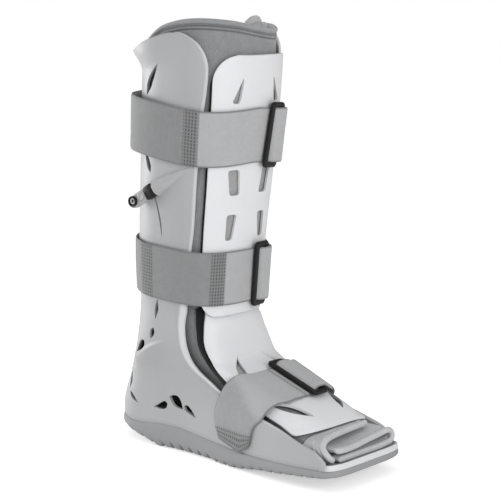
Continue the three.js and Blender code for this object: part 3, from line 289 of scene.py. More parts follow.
def tubePiece(name, rings, closed=False):  # a skin over rings of points, its ends closed unless it is a loop
    count = len(rings[0])
    faces = []
    for i in range(len(rings) if closed else len(rings) - 1):
        for j in range(count):
            a, b = i * count, ((i + 1) % len(rings)) * count
            faces.append([a + j, a + (j + 1) % count, b + (j + 1) % count, b + j])
    if not closed:
        faces.append(list(range(count))[::-1])
        faces.append([(len(rings) - 1) * count + j for j in range(count)])
    made = newPiece(name, [p for ring in rings for p in ring], faces)
    outward(made)
    return made


def outward(made):
    work = bmesh.new()
    work.from_mesh(made.data)
    bmesh.ops.remove_doubles(work, verts=work.verts, dist=1e-6)
    bmesh.ops.recalc_face_normals(work, faces=work.faces)
    if work.calc_volume(signed=True) < 0:
        bmesh.ops.reverse_faces(work, faces=work.faces)
    work.to_mesh(made.data)
    work.free()


def beActive(made):
    bpy.ops.object.select_all(action="DESELECT")
    made.select_set(True)
    bpy.context.view_layer.objects.active = made


def applyAll(made):
    beActive(made)
    for step in list(made.modifiers):
        bpy.ops.object.modifier_apply(modifier=step.name)


def combine(made, others, how):
    for other in others:
        step = made.modifiers.new("combine", "BOOLEAN")
        step.operation, step.solver, step.object = how, "EXACT", other
        applyAll(made)
        bpy.data.objects.remove(other, do_unlink=True)


def joined(name, parts):
    bpy.ops.object.select_all(action="DESELECT")
    for part in parts:
        part.select_set(True)
    bpy.context.view_layer.objects.active = parts[0]
    if len(parts) > 1:
        bpy.ops.object.join()
    parts[0].name = parts[0].data.name = name
    return parts[0]


def smooth(made, angle):
    beActive(made)
    bpy.ops.object.shade_smooth_by_angle(angle=math.radians(angle))


def paintMask(made, name, valueAt):  # a mask for the material, from each point's number and place
    mask = made.data.attributes.new(name, "FLOAT", "POINT")
    for k, vertex in enumerate(made.data.vertices):
        point = vertex.co * 1000
        point.x += bootSize["originAt"]
        mask.data[k].value = valueAt(k, point)


def tell(text):
    print("boot:", text, flush=True)


def leaf(tipA, tipB, width, bow, widest, count=14):  # a slot's outline, pointed at both ends
    a, b = Vector(tipA), Vector(tipB)
    along = b - a
    side = Vector((-along.y, along.x)).normalized()

    def fat(t):
        return width / 2 * math.sin(math.pi * (0.5 * t / widest if t < widest
                                               else 0.5 + 0.5 * (t - widest) / (1 - widest)))

    def at(t, half):
        return a + along * t + side * (bow * 4 * t * (1 - t) + half)
    return ([at(i / count, -fat(i / count)) for i in range(count + 1)]
            + [at(i / count, fat(i / count)) for i in range(count - 1, 0, -1)])


def roundedOutline(corners, radius, count=5):  # a slot's outline from its corners
    out = []
    total = len(corners)
    for i, corner in enumerate(corners):
        here = Vector(corner)
        before = (Vector(corners[i - 1]) - here)
        after = (Vector(corners[(i + 1) % total]) - here)
        a = here + before.normalized() * min(radius, before.length / 2)
        b = here + after.normalized() * min(radius, after.length / 2)
        for k in range(count + 1):
            t = k / count
            out.append(a * (1 - t) ** 2 + here * 2 * t * (1 - t) + b * t**2)
    return out


def cutterOf(outline, place):  # a prism whose two ends come from place(point, end)
    ring = [[place(p, end) for p in outline] for end in (0, 1)]
    return tubePiece("cutter", ring)

soleLook = {"lugPitch": 12.4, "lugDepth": 2.2, "waistDepth": 4.2, "sideBulge": 1.2, "seatRise": 0.7}


def makeOutsole():
    def ring(x, groove):
        half = halfAt(section(soleTop(x), 0), x)
        waist = ease(0.22, 0.27, x / soleLength) * (1 - ease(0.46, 0.5, x / soleLength))
        low = soleBottom(x)
        cut = groove * mix(soleLook["lugDepth"], soleLook["waistDepth"], waist)
        high = soleTop(x) + soleLook["seatRise"]
        foot = max(half - 2.5 - 3 * waist, half * 0.6)
        side = []
        for t in (0, 0.02, 0.07, 0.16, 0.3, 0.45, 0.6, 0.78, 0.93, 0.985, 1):
            turn = math.sqrt(min(t / 0.16, 1))
            wide = mix(foot, half + soleLook["sideBulge"], math.sin(min(t / 0.45, 1) * math.pi / 2) ** 0.8)
            if t > 0.45:
                wide = mix(half + soleLook["sideBulge"], half, ((t - 0.45) / 0.55) ** 2)
            wide -= (1 - turn) * 1.2 + 0.7 * ease(0.96, 1, t)
            side.append((max(wide, half * 0.6), mix(low, high, t) + cut * max(1 - t / 0.38, 0)))
        return ([Vector((x, w, z)) for w, z in side] + [Vector((x, -w, z)) for w, z in side[::-1]])
    grooveSteps = [  # past each lug's start, share of the groove's depth
        (-4.5, 0.12), (-4.2, 0.5), (-3.7, 0.94), (-3.2, 1), (-1.6, 1), (-1.1, 0.94), (-0.6, 0.5),
        (-0.2, 0.12), (0.5, 0), (3.4, 0), (6.4, 0), (7.3, 0),
    ]
    places = [(0.35, 0), (1, 0), (2.5, 0), (4.2, 0), (6, 0)]
    lugs = int((soleLength - 8) // soleLook["lugPitch"])
    for k in range(1, lugs + 1):
        start = k * soleLook["lugPitch"]
        places += [(start + step, groove) for step, groove in grooveSteps]
    places += [(soleLength - 4, 0), (soleLength - 2.2, 0), (soleLength - 0.8, 0)]
    rings = [ring(x, groove) for x, groove in sorted(p for p in places if 0 < p[0] < soleLength - 0.5)]
    made = tubePiece("outsole_moulded", rings[::-1])
    smooth(made, 38)
    return made


shellLook = {"columns": 110, "rimBand": 7, "rimDrop": 3.4, "collarFlare": 9, "floorWall": 3, "lipHeight": 5,
             "lipWall": 4, "rimBead": 0.5}
topRows = [(0.0, 0.33), (0.15, 0.33), (0.2, 0.29), (0.28, 0.13), (0.36, 0.02), (0.41, 0.0)]  # along, drop
shellSlots = [  # tip, tip, width, bow, widest
    ((0.262, 0.853), (0.327, 0.928), 7.6, 1.6, 0.33), ((0.247, 0.735), (0.281, 0.675), 6, 0.4, 0.72),
    ((0.286, 0.645), (0.322, 0.523), 2, 2.6, 0.7), ((0.283, 0.375), (0.268, 0.325), 4.4, 0, 0.5),
    ((0.259, 0.304), (0.244, 0.275), 6, 0, 0.4), ((0.216, 0.099), (0.276, 0.114), 7.5, -1, 0.8),
    ((0.285, 0.133), (0.345, 0.107), 11.5, 1.6, 0.45), ((0.35, 0.117), (0.405, 0.094), 6.5, 0.6, 0.2),
    ((0.21, 0.266), (0.15, 0.229), 7.5, 0, 0.22), ((0.104, 0.175), (0.094, 0.129), 4, 0.4, 0.5),
    ((0.097, 0.124), (0.142, 0.1), 4.5, -0.8, 0.4),
]
crestLine = [(0.135, 0.218), (0.165, 0.228), (0.205, 0.241), (0.25, 0.258), (0.3, 0.272)]  # along, up
crestLook = {"height": 3.3, "above": 1.7, "below": 13}


def heelCrest(x, z):  # the soft ridge that runs forwards from the heel's upper slot
    share = x / soleLength
    if not 0.1 < share < 0.33:
        return 0.0
    above = z - atZ(readRow(crestLine, share, 1))
    fade = ease(0.12, 0.16, share) * (1 - ease(0.22, 0.32, share))
    fall = crestLook["above" if above > 0 else "below"]
    return crestLook["height"] * fade * math.exp(-(above / fall) ** 2)


def shellWallGrid(columns):
    ups = (steps(0.0515, 0.15, 16) + steps(0.158, 0.205, 7) + steps(0.209, 0.285, 22) + steps(0.293, 0.38, 9)
           + steps(0.395, 0.86, 26) + steps(0.875, 0.97, 9) + [0.978, 0.986, 0.993, 0.9975, 1.0])
    grid = []
    for up in ups:
        z = atZ(up)
        half = halfOutline(z, 0, rimAt(z), columns, 1.1)
        total = sum((b - a).length for a, b in zip(half, half[1:]))
        band = shellLook["rimBand"] * (1 + 0.8 * (1 - ease(0.16, 0.22, up)))
        drop = shellLook["rimDrop"] * ease(0.14, 0.17, up) * mix(1, 0.25, ease(0.36, 0.45, up))
        bottom = 1 - ease(0.0515, 0.14, up)
        side = []
        for i, p in enumerate(half):
            left = total * (1 - (i / columns) ** 1.1)
            turned = max(1 - left / band, 0) * drop
            bead = shellLook["rimBead"] * math.exp(-((left - 1.6) / 1.5) ** 2) * ease(0.14, 0.2, up)
            rear = 1 - ease(0.2, 0.42, p.x / soleLength)
            fall = ease(0.87, 1.0, up) * readRow(topRows, p.x / soleLength, 1)
            height = z + bottom * (soleTop(p.x) + soleRoom - atZ(0.0515)) - fall * legHalf
            flare = shellLook["collarFlare"] * ease(0.9, 0.958, height / atZ(1)) ** 1.4 * rear
            out = Vector((p.x - 90, p.y)).normalized() * flare
            side.append(Vector((p.x + out.x, p.y + out.y - turned + bead + heelCrest(p.x, height), height)))
        right = [Vector((p.x, -p.y, p.z)) for p in side]
        grid.append((right[::-1] + side[1:])[::-1])
    return grid


def makeShell():
    wall = sheetPiece("rear_shell_moulded", shellWallGrid(shellLook["columns"]), shellWall, rounded=1.1)
    outward(wall)
    floorGrid = []
    for share in steps(0.012, 0.985, 60):
        x = atX(share)
        s = section(soleTop(x), -0.8)
        half = max(halfAt(s, max(x, s["back"] + 0.5)), 2)
        level = soleTop(x) + soleRoom + shellLook["floorWall"]
        floorGrid.append([Vector((x, y, level)) for y in steps(half, -half, 16)])
    base = sheetPiece("floor", floorGrid, shellLook["floorWall"])
    outward(base)
    line = [p for p in halfOutline(atZ(0.05), -0.05, soleLength, 140) if p.x > 0.945 * soleLength]
    side = spread(line, 26)
    side[-1].y = 0
    path = side + [Vector((p.x, -p.y)) for p in side[:-1][::-1]]
    lipGrid = []
    for up, tuck in ((0, 0), (0.3, 0.05), (0.6, 0.2), (0.85, 0.7), (1, 1.3)):
        row = []
        for p in path:
            inward = Vector((p.x - 240, p.y)).normalized() * -tuck
            level = soleTop(p.x) + soleRoom + up * shellLook["lipHeight"]
            row.append(Vector((p.x + inward.x, p.y + inward.y, level)))
        lipGrid.append(row[::-1])
    lip = sheetPiece("lip", lipGrid, shellLook["lipWall"])
    outward(lip)
    combine(wall, [base, lip, makeFairing()], "UNION")
    cutters = []
    for tipA, tipB, width, bow, widest in shellSlots:
        outline = leaf((atX(tipA[0]), atZ(tipA[1])), (atX(tipB[0]), atZ(tipB[1])), width, bow, widest)
        for near, far in ((-legHalf * 2, -heelHalf / 2), (heelHalf / 2, legHalf * 2)):
            cutters.append(cutterOf(outline, lambda p, end: Vector((p.x, far if end else near, p.y))))
    combine(wall, [joined("slots", cutters)], "DIFFERENCE")
    smooth(wall, 42)

    # painted highlight: the mask lightens a band along the shell's turned rim, wide round the ankle and
    # narrow up the leg, and the toe lip is painted the same lighter grey
    def rimHighlightShare(k, p):
        wide = mix(5.0, 1.0, ease(0.34, 0.46, p.z / atZ(1)))
        close = 1 - min(max((rimAt(p.z) - p.x - wide) / 1.6, 0), 1)
        return close * ease(atZ(0.1), atZ(0.16), p.z) + ease(0.962, 0.975, p.x / soleLength) * (p.z < 40)
    paintMask(wall, "rimHighlightMask", rimHighlightShare)
    return wall


mouthAt, tipAt = (0.312, 0.6405), (0.436, 0.6935)  # along, up: the air valve's fairing
fairingLook = {"halfWidth": 7.4, "height": 7.2, "sunk": 1.2}


def makeFairing():
    axis = Vector((atX(tipAt[0] - mouthAt[0]), atZ(tipAt[1] - mouthAt[1])))
    across = Vector((-axis.y, axis.x)).normalized()
    rings = []
    for t in (0, 0.01, 0.03, 0.08, 0.15, 0.23, 0.32, 0.42, 0.52, 0.62, 0.71, 0.79, 0.86, 0.92, 0.97):
        width = fairingLook["halfWidth"] * (1 - t) ** 0.75 + 0.5 - 0.3 * (t == 0)
        height = fairingLook["height"] * (1 - t) ** 1.1 + 1.4 - 0.3 * (t == 0)
        ring = []
        for k in range(36):
            a = 2 * math.pi * k / 36
            sideways = squarer(math.cos(a), 0.8) * width
            px = atX(mouthAt[0]) + axis.x * t + across.x * sideways
            pz = atZ(mouthAt[1]) + axis.y * t + across.y * sideways
            rise = max(squarer(math.sin(a), 0.8), -0.2) * height - fairingLook["sunk"]
            ring.append(Vector((px, -(halfAt(section(pz, 0), px) + rise), pz)))
        rings.append(ring)
    return tubePiece("fairing", rings)


panelLook = {"angle": 45, "top": 0.947, "bottom": 0.341, "rows": 64, "columns": 84}
panelSlots = [  # top, bottom, outerTop, innerTop, outerLow, innerLow
    (0.685, 0.625, 0.455, 0.252, 0.395, 0.205), (0.58, 0.519, 0.408, 0.223, 0.405, 0.28),
]
tearCorners = [  # the panel's highest slot, share of the leg's half width, up
    (-0.49, 0.843), (-0.46, 0.838), (-0.38, 0.838), (-0.355, 0.846),
    (-0.335, 0.87), (-0.32, 0.893), (-0.33, 0.896), (-0.4, 0.873),
]


def frontPanelGrid(off, grow, top, bottom, rows, columns):
    grid = []
    for i in range(rows + 1):
        t = i / rows
        up = mix(bottom, top, mix(t, (1 - math.cos(math.pi * t)) / 2, 0.85))

        def corner(far, radius):
            near = min(far, radius) / radius
            return math.sqrt(max(1 - (1 - near) ** 2, 0))
        low = 15 * (1 - corner(up - bottom, 0.045))
        right = panelLook["angle"] + grow - 21 * (1 - corner(top - up, 0.06)) - low
        left = panelLook["angle"] + grow - 7 * (1 - corner(top - up, 0.02)) - low
        half = columns // 2
        turns = [-right * math.sin(math.pi / 2 * (1 - k / half)) for k in range(half)]
        turns += [left * math.sin(math.pi / 2 * k / half) for k in range(half + 1)]
        grid.append([formPoint(atZ(up), angle, off) for angle in turns])
    return grid


def makeFrontPanel():
    look = panelLook
    grid = frontPanelGrid(0, 0, look["top"], look["bottom"], look["rows"], look["columns"])
    made = sheetPiece("front_panel_moulded", grid, panelWall, rounded=1.0)
    outward(made)
    cutters = []
    for side in (-1, 1):
        outlines = [[(side * share * legHalf, atZ(up)) for share, up in tearCorners]]
        for top, bottom, outerTop, innerTop, outerLow, innerLow in panelSlots:
            outlines.append([])
            for across, up in ((0, 0), (1, 0), (1, 1), (0, 1)):
                share = mix(mix(outerLow, outerTop, up), mix(innerLow, innerTop, up), across)
                outlines[-1].append((side * legHalf * share, atZ(mix(bottom, top, up))))
        for k, outline in enumerate(outlines):
            ring = roundedOutline(outline, 1.2 if k == 0 else 3.2)
            cutters.append(cutterOf(ring, lambda p, end: Vector((atX(0.7 if end else 0.4), p.x, p.y))))
    combine(made, [joined("windows", cutters)], "DIFFERENCE")
    smooth(made, 42)
    return made


padLook = {"edge": 9, "pastPanel": 1.6, "pastSaddle": 0.027}  # how far the painted black shade at the pads' edges reaches, and how far the pads reach


def padOf(name, grid):  # painted shade: black at its edge, where the gap beside the panel lies in shadow, faced with grey knit
    made = sheetPiece(name, grid, padWall, rounded=0.6)
    smooth(made, 60)
    columns = len(grid[0])

    def faceShare(k, p):
        i, j = divmod(k % (len(grid) * columns), columns)
        near = min((grid[i][j] - end).length for end in (grid[i][0], grid[i][-1], grid[0][j], grid[-1][j]))
        return ease(padLook["edge"], padLook["edge"] + 1, near)
    paintMask(made, "beadMask", faceShare)
    outward(made)
    return made


def makeShinPad():
    top = panelLook["top"] - 0.012
    grid = frontPanelGrid(-panelWall - layerRoom, padLook["pastPanel"], top, 0.42, 48, 60)
    return padOf("shin_pad_faced", grid)


saddleRows = [  # crownUp, edge, edgeUp, swing
    (0.376, 0.425, 0.366, 0), (0.346, 0.435, 0.338, 0), (0.321, 0.4435, 0.312, 0), (0.2935, 0.45, 0.288, 0),
    (0.266, 0.461, 0.267, 0), (0.241, 0.478, 0.246, 0), (0.226, 0.4966, 0.228, 0),
    (0.2115, 0.518, 0.211, 0), (0.1957, 0.556, 0.188, 0.004), (0.1806, 0.607, 0.167, 0.01),
    (0.1656, 0.668, 0.1505, 0.02), (0.1505, 0.731, 0.137, 0.03), (0.138, 0.787, 0.1245, 0.04),
    (0.1265, 0.822, 0.1125, 0.05),
]
indexedSaddle = [(k,) + row for k, row in enumerate(saddleRows)]
saddleOff = -(shellWall + 1.3 * layerRoom)


def saddlePoint(row, t, off, grow):
    crownUp, edge, edgeUp = row
    edgeX, edgeZ = (edge - grow) * soleLength, atZ(edgeUp - grow * 0.4)
    crownZ = atZ(crownUp)
    startX = section(crownZ, off)["front"]
    px, pz = mix(startX, edgeX, t * t), mix(crownZ, edgeZ, t * t)
    s = section(pz, off)
    return Vector((px, halfAt(s, min(px, s["front"] - 0.01)) if t else 0, pz))


saddleLook = {"corner": 0.09, "cornerRows": 0.08, "leafWiden": 1.35}  # the toe corners are rounded


def saddleGrid(off, grow, rows, half):
    grid = []
    for i in range(rows + 1):
        place = i / rows * (len(saddleRows) - 1)
        crownUp, edge, edgeUp, swing = (readRow(indexedSaddle, place, k) for k in (1, 2, 3, 4))
        bend = max(1 - (rows - i) / (saddleLook["cornerRows"] * rows), 0)
        last = 1 - saddleLook["corner"] * (1 - math.sqrt(1 - bend ** 2))
        shares = steps(0, last, half)
        left = [saddlePoint((crownUp, edge + swing, edgeUp), share, off, grow) for share in shares]
        right = [saddlePoint((crownUp, edge, edgeUp), share, off, grow) for share in shares]
        for p in right:
            p.y = -p.y
        grid.append(right[1:][::-1] + left)
    return grid[::-1]


instepLeaves = [  # tip, end, width, bow
    ((0.51, 0.312), (0.623, 0.69), 6.5, 1.5), ((0.706, 0.735), (0.84, 0.372), 7, 1),
]


def makeInstepPanel():
    made = sheetPiece("instep_panel_moulded", saddleGrid(saddleOff, 0, 78, 34), panelWall, rounded=1.0)
    outward(made)
    cutters = []
    for side in (-1, 1):
        for tip, end, width, bow in instepLeaves:
            ends = [(atX(along), side * across * forefootHalf) for along, across in (tip, end)]
            outline = leaf(*ends, width * saddleLook["leafWiden"], side * bow, 0.55)
            cutters.append(cutterOf(outline, lambda p, high: Vector((p.x, p.y, atZ(0.3 if high else 0.1)))))
    combine(made, [joined("leaves", cutters)], "DIFFERENCE")
    smooth(made, 42)
    return made


def makeInstepPad():
    grid = saddleGrid(saddleOff - panelWall - layerRoom, padLook["pastSaddle"], 60, 26)[18:]
    return padOf("instep_pad_faced", grid)


rimTurns = [  # turn, up
    (-180, 0.958), (-122, 0.974), (-94, 1.002), (-63, 1.015), (-32, 1.011), (0, 0.998), (30, 0.99),
    (63, 1.0), (94, 1.0), (122, 0.974), (180, 0.958),
]
linerLook = {
    "rimStart": 0.9, "toeCut": 0.86, "half": 76, "binding": 2.6, "stitchBelow": (0.5, 3.6),
    "swell": 0.9, "ripple": 0.35, "dent": 1.1,
}
legLayers = panelWall + padWall + 2 * layerRoom
footLayers = shellWall + panelWall + padWall + 4.2 * layerRoom
legCentre = atX(0.346)


def linerOff(height):
    return -mix(footLayers, legLayers, ease(atZ(0.39), atZ(0.46), height))


def turnOf(p):
    return math.degrees(math.atan2(p.y, p.x - legCentre))


def rimRise(turn):
    return atZ(readRow(rimTurns, turn, 1) - 1)


def makeLiner():
    base = atZ(0.0715)
    ups = steps(0.09, 0.38, 24) + steps(0.4, 0.86, 26) + steps(0.875, 0.98, 14) + steps(0.9825, 1, 12)
    levels = [base] + [atZ(up) for up in ups]

    def ring(height, off):
        side = halfOutline(height, off, soleLength * 2, linerLook["half"], 1.1)
        side[-1].y = 0
        flat = side + [Vector((p.x, -p.y)) for p in side[1:-1][::-1]]
        out = []
        for p in flat:
            lifted = ease(atZ(linerLook["rimStart"]), atZ(1), height) * rimRise(turnOf(p))
            out.append(Vector((p.x, p.y, height + lifted)))
        return out
    rings = []
    for height in levels:
        outer = ring(height, linerOff(height))
        for p in outer:
            below = atZ(1) - height
            dent = sum(math.exp(-((below - at) / 0.8) ** 2) for at in linerLook["stitchBelow"])
            puff = linerLook["swell"] * noise.noise(p * 0.035) + linerLook["ripple"] * noise.noise(p * 0.11)
            puff = (puff - linerLook["dent"] * dent) * ease(atZ(0.44), atZ(0.55), height)
            out = Vector((p.x - legCentre, p.y, 0)).normalized()
            p.x += out.x * puff
            p.y += out.y * puff
        rings.append(outer)
    top = linerOff(atZ(1))
    for rise, share in ((0.6, 0.12), (1.1, 0.3), (1.3, 0.5), (1.1, 0.7), (0.6, 0.88)):
        rings.append([p + Vector((0, 0, rise)) for p in ring(atZ(1), top - linerWall * share)])
    inner = [height for height in levels[::-1] if height > base + linerWall * 0.8 + 2]
    for height in inner + [base + linerWall * 0.8]:
        rings.append(ring(height, linerOff(height) - linerWall))
    made = tubePiece("liner_padded", rings)
    low, high = Vector((atX(linerLook["toeCut"]), -90, 0)), Vector((atX(1.1), 90, 100))
    square = [Vector(spot) for spot in ((low.x, low.y), (high.x, low.y), (high.x, high.y), (low.x, high.y))]
    toe = cutterOf(square, lambda p, end: Vector((p.x, p.y, high.z if end else low.z)))
    combine(made, [toe], "DIFFERENCE")
    smooth(made, 50)

    def stitchShare(k, p):
        below = atZ(1) + rimRise(turnOf(p)) - p.z
        return sum(math.exp(-((below - at) / 0.75) ** 2) for at in linerLook["stitchBelow"])

    def slotShadeShare(k, p):  # painted shade: liner coloured black behind the shell's slots, standing in for the shadow seen through them
        behind = rimAt(p.z) - p.x
        high = ease(10, 16, behind) * ease(atZ(0.3), atZ(0.34), p.z) * (1 - ease(atZ(0.925), atZ(0.94), p.z))
        return high + ease(20, 26, behind) * (36 < p.z < atZ(0.3))
    paintMask(made, "stitchMask", stitchShare)
    paintMask(made, "slotShadeMask", slotShadeShare)
    return made


def makeBinding():
    rings = []
    count, around = 150, 12
    for i in range(count):
        turn = -180 + 360 * i / count
        height = atZ(readRow(rimTurns, turn, 1))
        middle = formPoint(atZ(1), turn, linerOff(atZ(1)) - linerWall / 2)
        out = Vector((middle.x - legCentre, middle.y, 0)).normalized()
        ring = []
        for k in range(around):
            a = 2 * math.pi * k / around
            soft = 1 + 0.05 * noise.noise(Vector((turn * 0.09, k * 0.3, 0)))
            wide = (linerWall / 2 + 0.5) * math.cos(a) * soft
            lift = height + 2 * gap + linerLook["binding"] * (1 + math.sin(a) * soft)
            ring.append(middle + out * wide + Vector((0, 0, lift - middle.z)))
        rings.append(ring)
    made = tubePiece("liner_binding_sewn", rings, closed=True)
    smooth(made, 60)
    return made


tongueRows = [  # turn, up
    (-14, 1.002), (-8, 1.018), (0, 1.03), (8, 1.036), (16, 1.037), (21, 1.03), (25, 1.008), (29, 1.018),
    (36, 1.022), (43, 1.013), (50, 0.985),
]


tongueLook = {"root": 0.88, "roll": 2.6, "rollFrom": 0.88, "dent": 0.9, "dentAt": 0.865}


def makeTongue():
    off = linerOff(atZ(1)) - linerWall - 1.5 * layerRoom
    turns = steps(tongueRows[0][0], tongueRows[-1][0], 76)
    shares = steps(0, 0.8, 16) + steps(0.82, 1, 18)
    grid = []
    for share in shares:
        roll = tongueLook["roll"] * max((share - tongueLook["rollFrom"]) / 0.12, 0) ** 1.7
        dent = tongueLook["dent"] * math.exp(-((share - tongueLook["dentAt"]) / 0.018) ** 2)
        row = []
        for turn in turns:
            swell = 0.4 * noise.noise(Vector((turn * 0.12, share * 3, 1)))
            height = mix(atZ(tongueLook["root"]), atZ(readRow(tongueRows, turn, 1)), share)
            row.append(formPoint(height, turn, off - roll - dent + swell))
        grid.append(row)
    made = sheetPiece("tongue_padded", grid, linerWall * 0.8, rounded=2.5)
    outward(made)
    smooth(made, 60)
    return made


outerFoldRows = [  # across, up, reach
    (-0.73, 0.0695, 0.965), (-0.83, 0.079, 0.962), (-0.868, 0.0935, 0.95), (-0.84, 0.102, 0.94),
    (-0.76, 0.1105, 0.935), (-0.6, 0.1145, 0.93), (-0.2, 0.117, 0.925), (0.25, 0.1165, 0.918),
    (0.55, 0.1135, 0.905),
]
innerFoldRows = [  # across, up, reach
    (-0.66, 0.0705, 0.97), (0.0, 0.07, 0.97), (0.6, 0.0705, 0.97), (0.83, 0.0745, 0.966),
    (0.875, 0.087, 0.962), (0.8, 0.096, 0.96), (0.5, 0.0955, 0.963), (0.1, 0.0925, 0.967),
    (-0.3, 0.089, 0.97), (-0.6, 0.09, 0.97), (-0.73, 0.0935, 0.966),
]
foldLook = {"wall": 4.0, "bead": 2.3, "stitchBack": (5.4, 9.6)}


def makeToeFold(name, rows, fall):
    line = [Vector((reach * soleLength, across * forefootHalf, atZ(up))) for across, up, reach in rows]
    path = spread([curvePoint(line, t) for t in steps(0, 1, 260)], 110)
    grid = []
    for share in steps(0, 1, 26):
        row = []
        for p in path:
            high = ease(atZ(0.08), atZ(0.12), p.z)
            start = atX(linerLook["toeCut"] + 0.004)
            row.append(Vector((mix(start, p.x - 0.6, share), p.y, p.z + high * fall * (1 - share))))
        grid.append(row)

    def relief(i, j, p):
        back = (1 - i / 26) * (grid[-1][j] - grid[0][j]).length
        groove = sum(math.exp(-((back - at) / 0.9) ** 2) for at in foldLook["stitchBack"])
        return 0.25 * noise.noise(p * 0.1) - 0.9 * groove
    pad = sheetPiece(name, grid, foldLook["wall"], middle=True, rounded=1.6, relief=relief)
    outward(pad)
    rings = []
    for k, p in enumerate(path):
        tangent = (path[min(k + 1, len(path) - 1)] - path[max(k - 1, 0)]).normalized()
        across = tangent.cross(Vector((1, 0, 0))).normalized()
        ahead = across.cross(tangent).normalized()
        end = min(k, len(path) - 1 - k)
        size = foldLook["bead"] * math.sqrt(1 - (1 - min(end / 3, 1)) ** 2) + 0.25
        ring = []
        for n in range(14):
            a = 2 * math.pi * n / 14
            ring.append(p + ahead * (math.cos(a) * size * 1.05 - 0.4) + across * math.sin(a) * size * 1.12)
        rings.append(ring)
    bead = tubePiece(name + "_bead", rings)
    made = joined(name, [pad, bead])
    smooth(made, 60)
    padCount = len(made.data.vertices) - len(rings) * 14
    paintMask(made, "beadMask", lambda k, p: float(k >= padCount))
    return made


strapLook = {"width": 51.0, "wall": 1.8, "step": 2.2, "across": 18}
lie = strapLook["wall"] / 2 + layerRoom
ringLook = {"length": 61.5, "width": 21.5, "wire": 5.4, "thick": 4.0, "corner": 3.4}
over = (strapLook["wall"] + 3.4) / 2 + layerRoom

# Places round the leg are degrees, and each rise is turn, up
upperStrap = {
    "ring": 18, "stand": 5.6, "slack": 7, "seams": [(-64.6, -54)],
    "rise": [(0, 0.763), (45, 0.758), (77, 0.769), (97, 0.779), (120, 0.788), (180, 0.795)],
}
lowerStrap = {
    "ring": 17, "stand": 5.4, "slack": 0.8, "seams": [(-109, -94), (-37, -25)],
    "rise": [(0, 0.4305), (45, 0.4315), (75, 0.4395), (97, 0.444), (120, 0.449), (180, 0.455)],
}


def strapLine(knots, reach):  # even steps along a strap, each with its stand off the form
    points = [Vector((at * reach, stand, 0)) for at, stand in knots]
    fine = [curvePoint(points, t) for t in steps(0, 1, 1500)]
    count = int((fine[-1].x - fine[0].x) / strapLook["step"])
    out, j = [], 1
    for k in range(count + 1):
        want = mix(fine[0].x, fine[-1].x, k / count)
        while j < len(fine) - 1 and fine[j].x < want:
            j += 1
        t = (want - fine[j - 1].x) / max(fine[j].x - fine[j - 1].x, 1e-9)
        out.append(fine[j - 1].lerp(fine[j], min(max(t, 0), 1)))
    return out


def legStrapPoint(strap, turn, across, stand):
    around = (turn + 180) % 360 - 180
    middle = atZ(readRow(strap["rise"], abs(around), 1))
    level = formPoint(middle, around, stand)
    edge = formPoint(middle + across * strapLook["width"], around, stand)
    return Vector((edge.x, edge.y, level.z + across * strapLook["width"]))


def legKnots(strap):  # turn, stand
    ring, slack, top = strap["ring"], strap["slack"], strap["stand"] + over
    return [(ring - 7.6, lie), (ring - 5.2, lie + 0.2), (ring - 3.4, mix(lie, top, 0.3)),
            (ring - 2.6, mix(lie, top, 0.7)), (ring - 0.4, top - 0.2), (ring + 3, top), (ring + 9, top + 0.5),
            (ring + 12, top - 1), (ring + 17, mix(lie, top, 0.4)), (ring + 24, lie + 0.3), (ring + 32, lie),
            (ring + 60, lie), (ring + 90, lie), (145, lie + slack * 0.2), (180, lie + slack * 0.4),
            (200, lie + slack * 0.8), (220, lie + slack), (240, lie + slack * 0.9), (260, lie + slack * 0.5),
            (280, lie + slack * 0.12), (300, lie), (320, lie), (ring + 340, lie), (ring + 352.4, lie)]


def crossShares():  # places across a strap, closer at its edges
    shares = steps(-0.5, 0.5, strapLook["across"])
    return [math.sin(math.pi * share) / 2 * 0.35 + share * 0.65 for share in shares]


def wovenRelief(seams, laid, place, across, p):  # the laid-on ends, the woven borders and a slight swell
    high = 0.0
    for start, end in seams:
        high += ease(start - 1.2, start + 1.2, place) * (1 - ease(end - 1.2, end + 1.2, place))
    border = 0.25 * math.exp(-((0.5 - abs(across)) * strapLook["width"] / 1.6) ** 2)
    return laid * high + border + 0.12 * noise.noise(p * 0.12)


def makeLegStrap(name, strap):
    turnLength = 1.15  # millimetres along the strap's pattern for a degree
    line = strapLine(legKnots(strap), turnLength)[:-1]
    shares = crossShares()
    grid = [[legStrapPoint(strap, p.x / turnLength, across, p.y) for p in line] for across in shares]
    total = len(line)

    def relief(i, j, p):
        turn = (line[j].x / turnLength + 180) % 360 - 180
        return wovenRelief(strap["seams"], 0.55, turn, shares[i], p)

    def uvOf(i, j):
        place = line[j].x if j < total else line[0].x + 360 * turnLength
        return (place / 1000, shares[i] * strapLook["width"] / 1000)
    made = sheetPiece(name, grid, strapLook["wall"], closed=True, middle=True, rounded=0.9,
                      relief=relief, uvGrid=uvOf)
    outward(made)
    smooth(made, 60)
    maskStrap(made, strap["seams"], (strap["seams"][-1][1], 75), turnLength)
    return made


def maskStrap(made, seams, pale, reach, crease=None):  # marks the sewn stretches, and the paler stretch: painted light ahead of the sewn band on the leg straps, whose rear stretch stays darker as painted shade; on the foot strap paler from place 1 to 12, darkened as painted shade below its fold
    for name in ("seamMask", "litStretchMask"):
        made.data.attributes.new(name, "FLOAT", "CORNER")
    sewn, loops = (made.data.attributes[name].data for name in ("seamMask", "litStretchMask"))
    for k, corner in enumerate(made.data.uv_layers["UVMap"].data):
        place, across = corner.uv[0] * 1000 / reach, corner.uv[1] * 1000 / strapLook["width"]
        at = place if crease else (place + 180) % 360 - 180
        sewn[k].value = float(any(start <= at <= end for start, end in seams))
        share = ease(pale[0] - 1, pale[0] + 1, at) * (1 - ease(pale[1] - 1, pale[1] + 1, at))
        # painted shade: below the fold the foot strap is darkened, standing in for its side turned from the
        # light
        if crease:
            share *= mix(0.45, 1, ease(-0.35, 0.2, crease(place, across)))
        loops[k].value = share


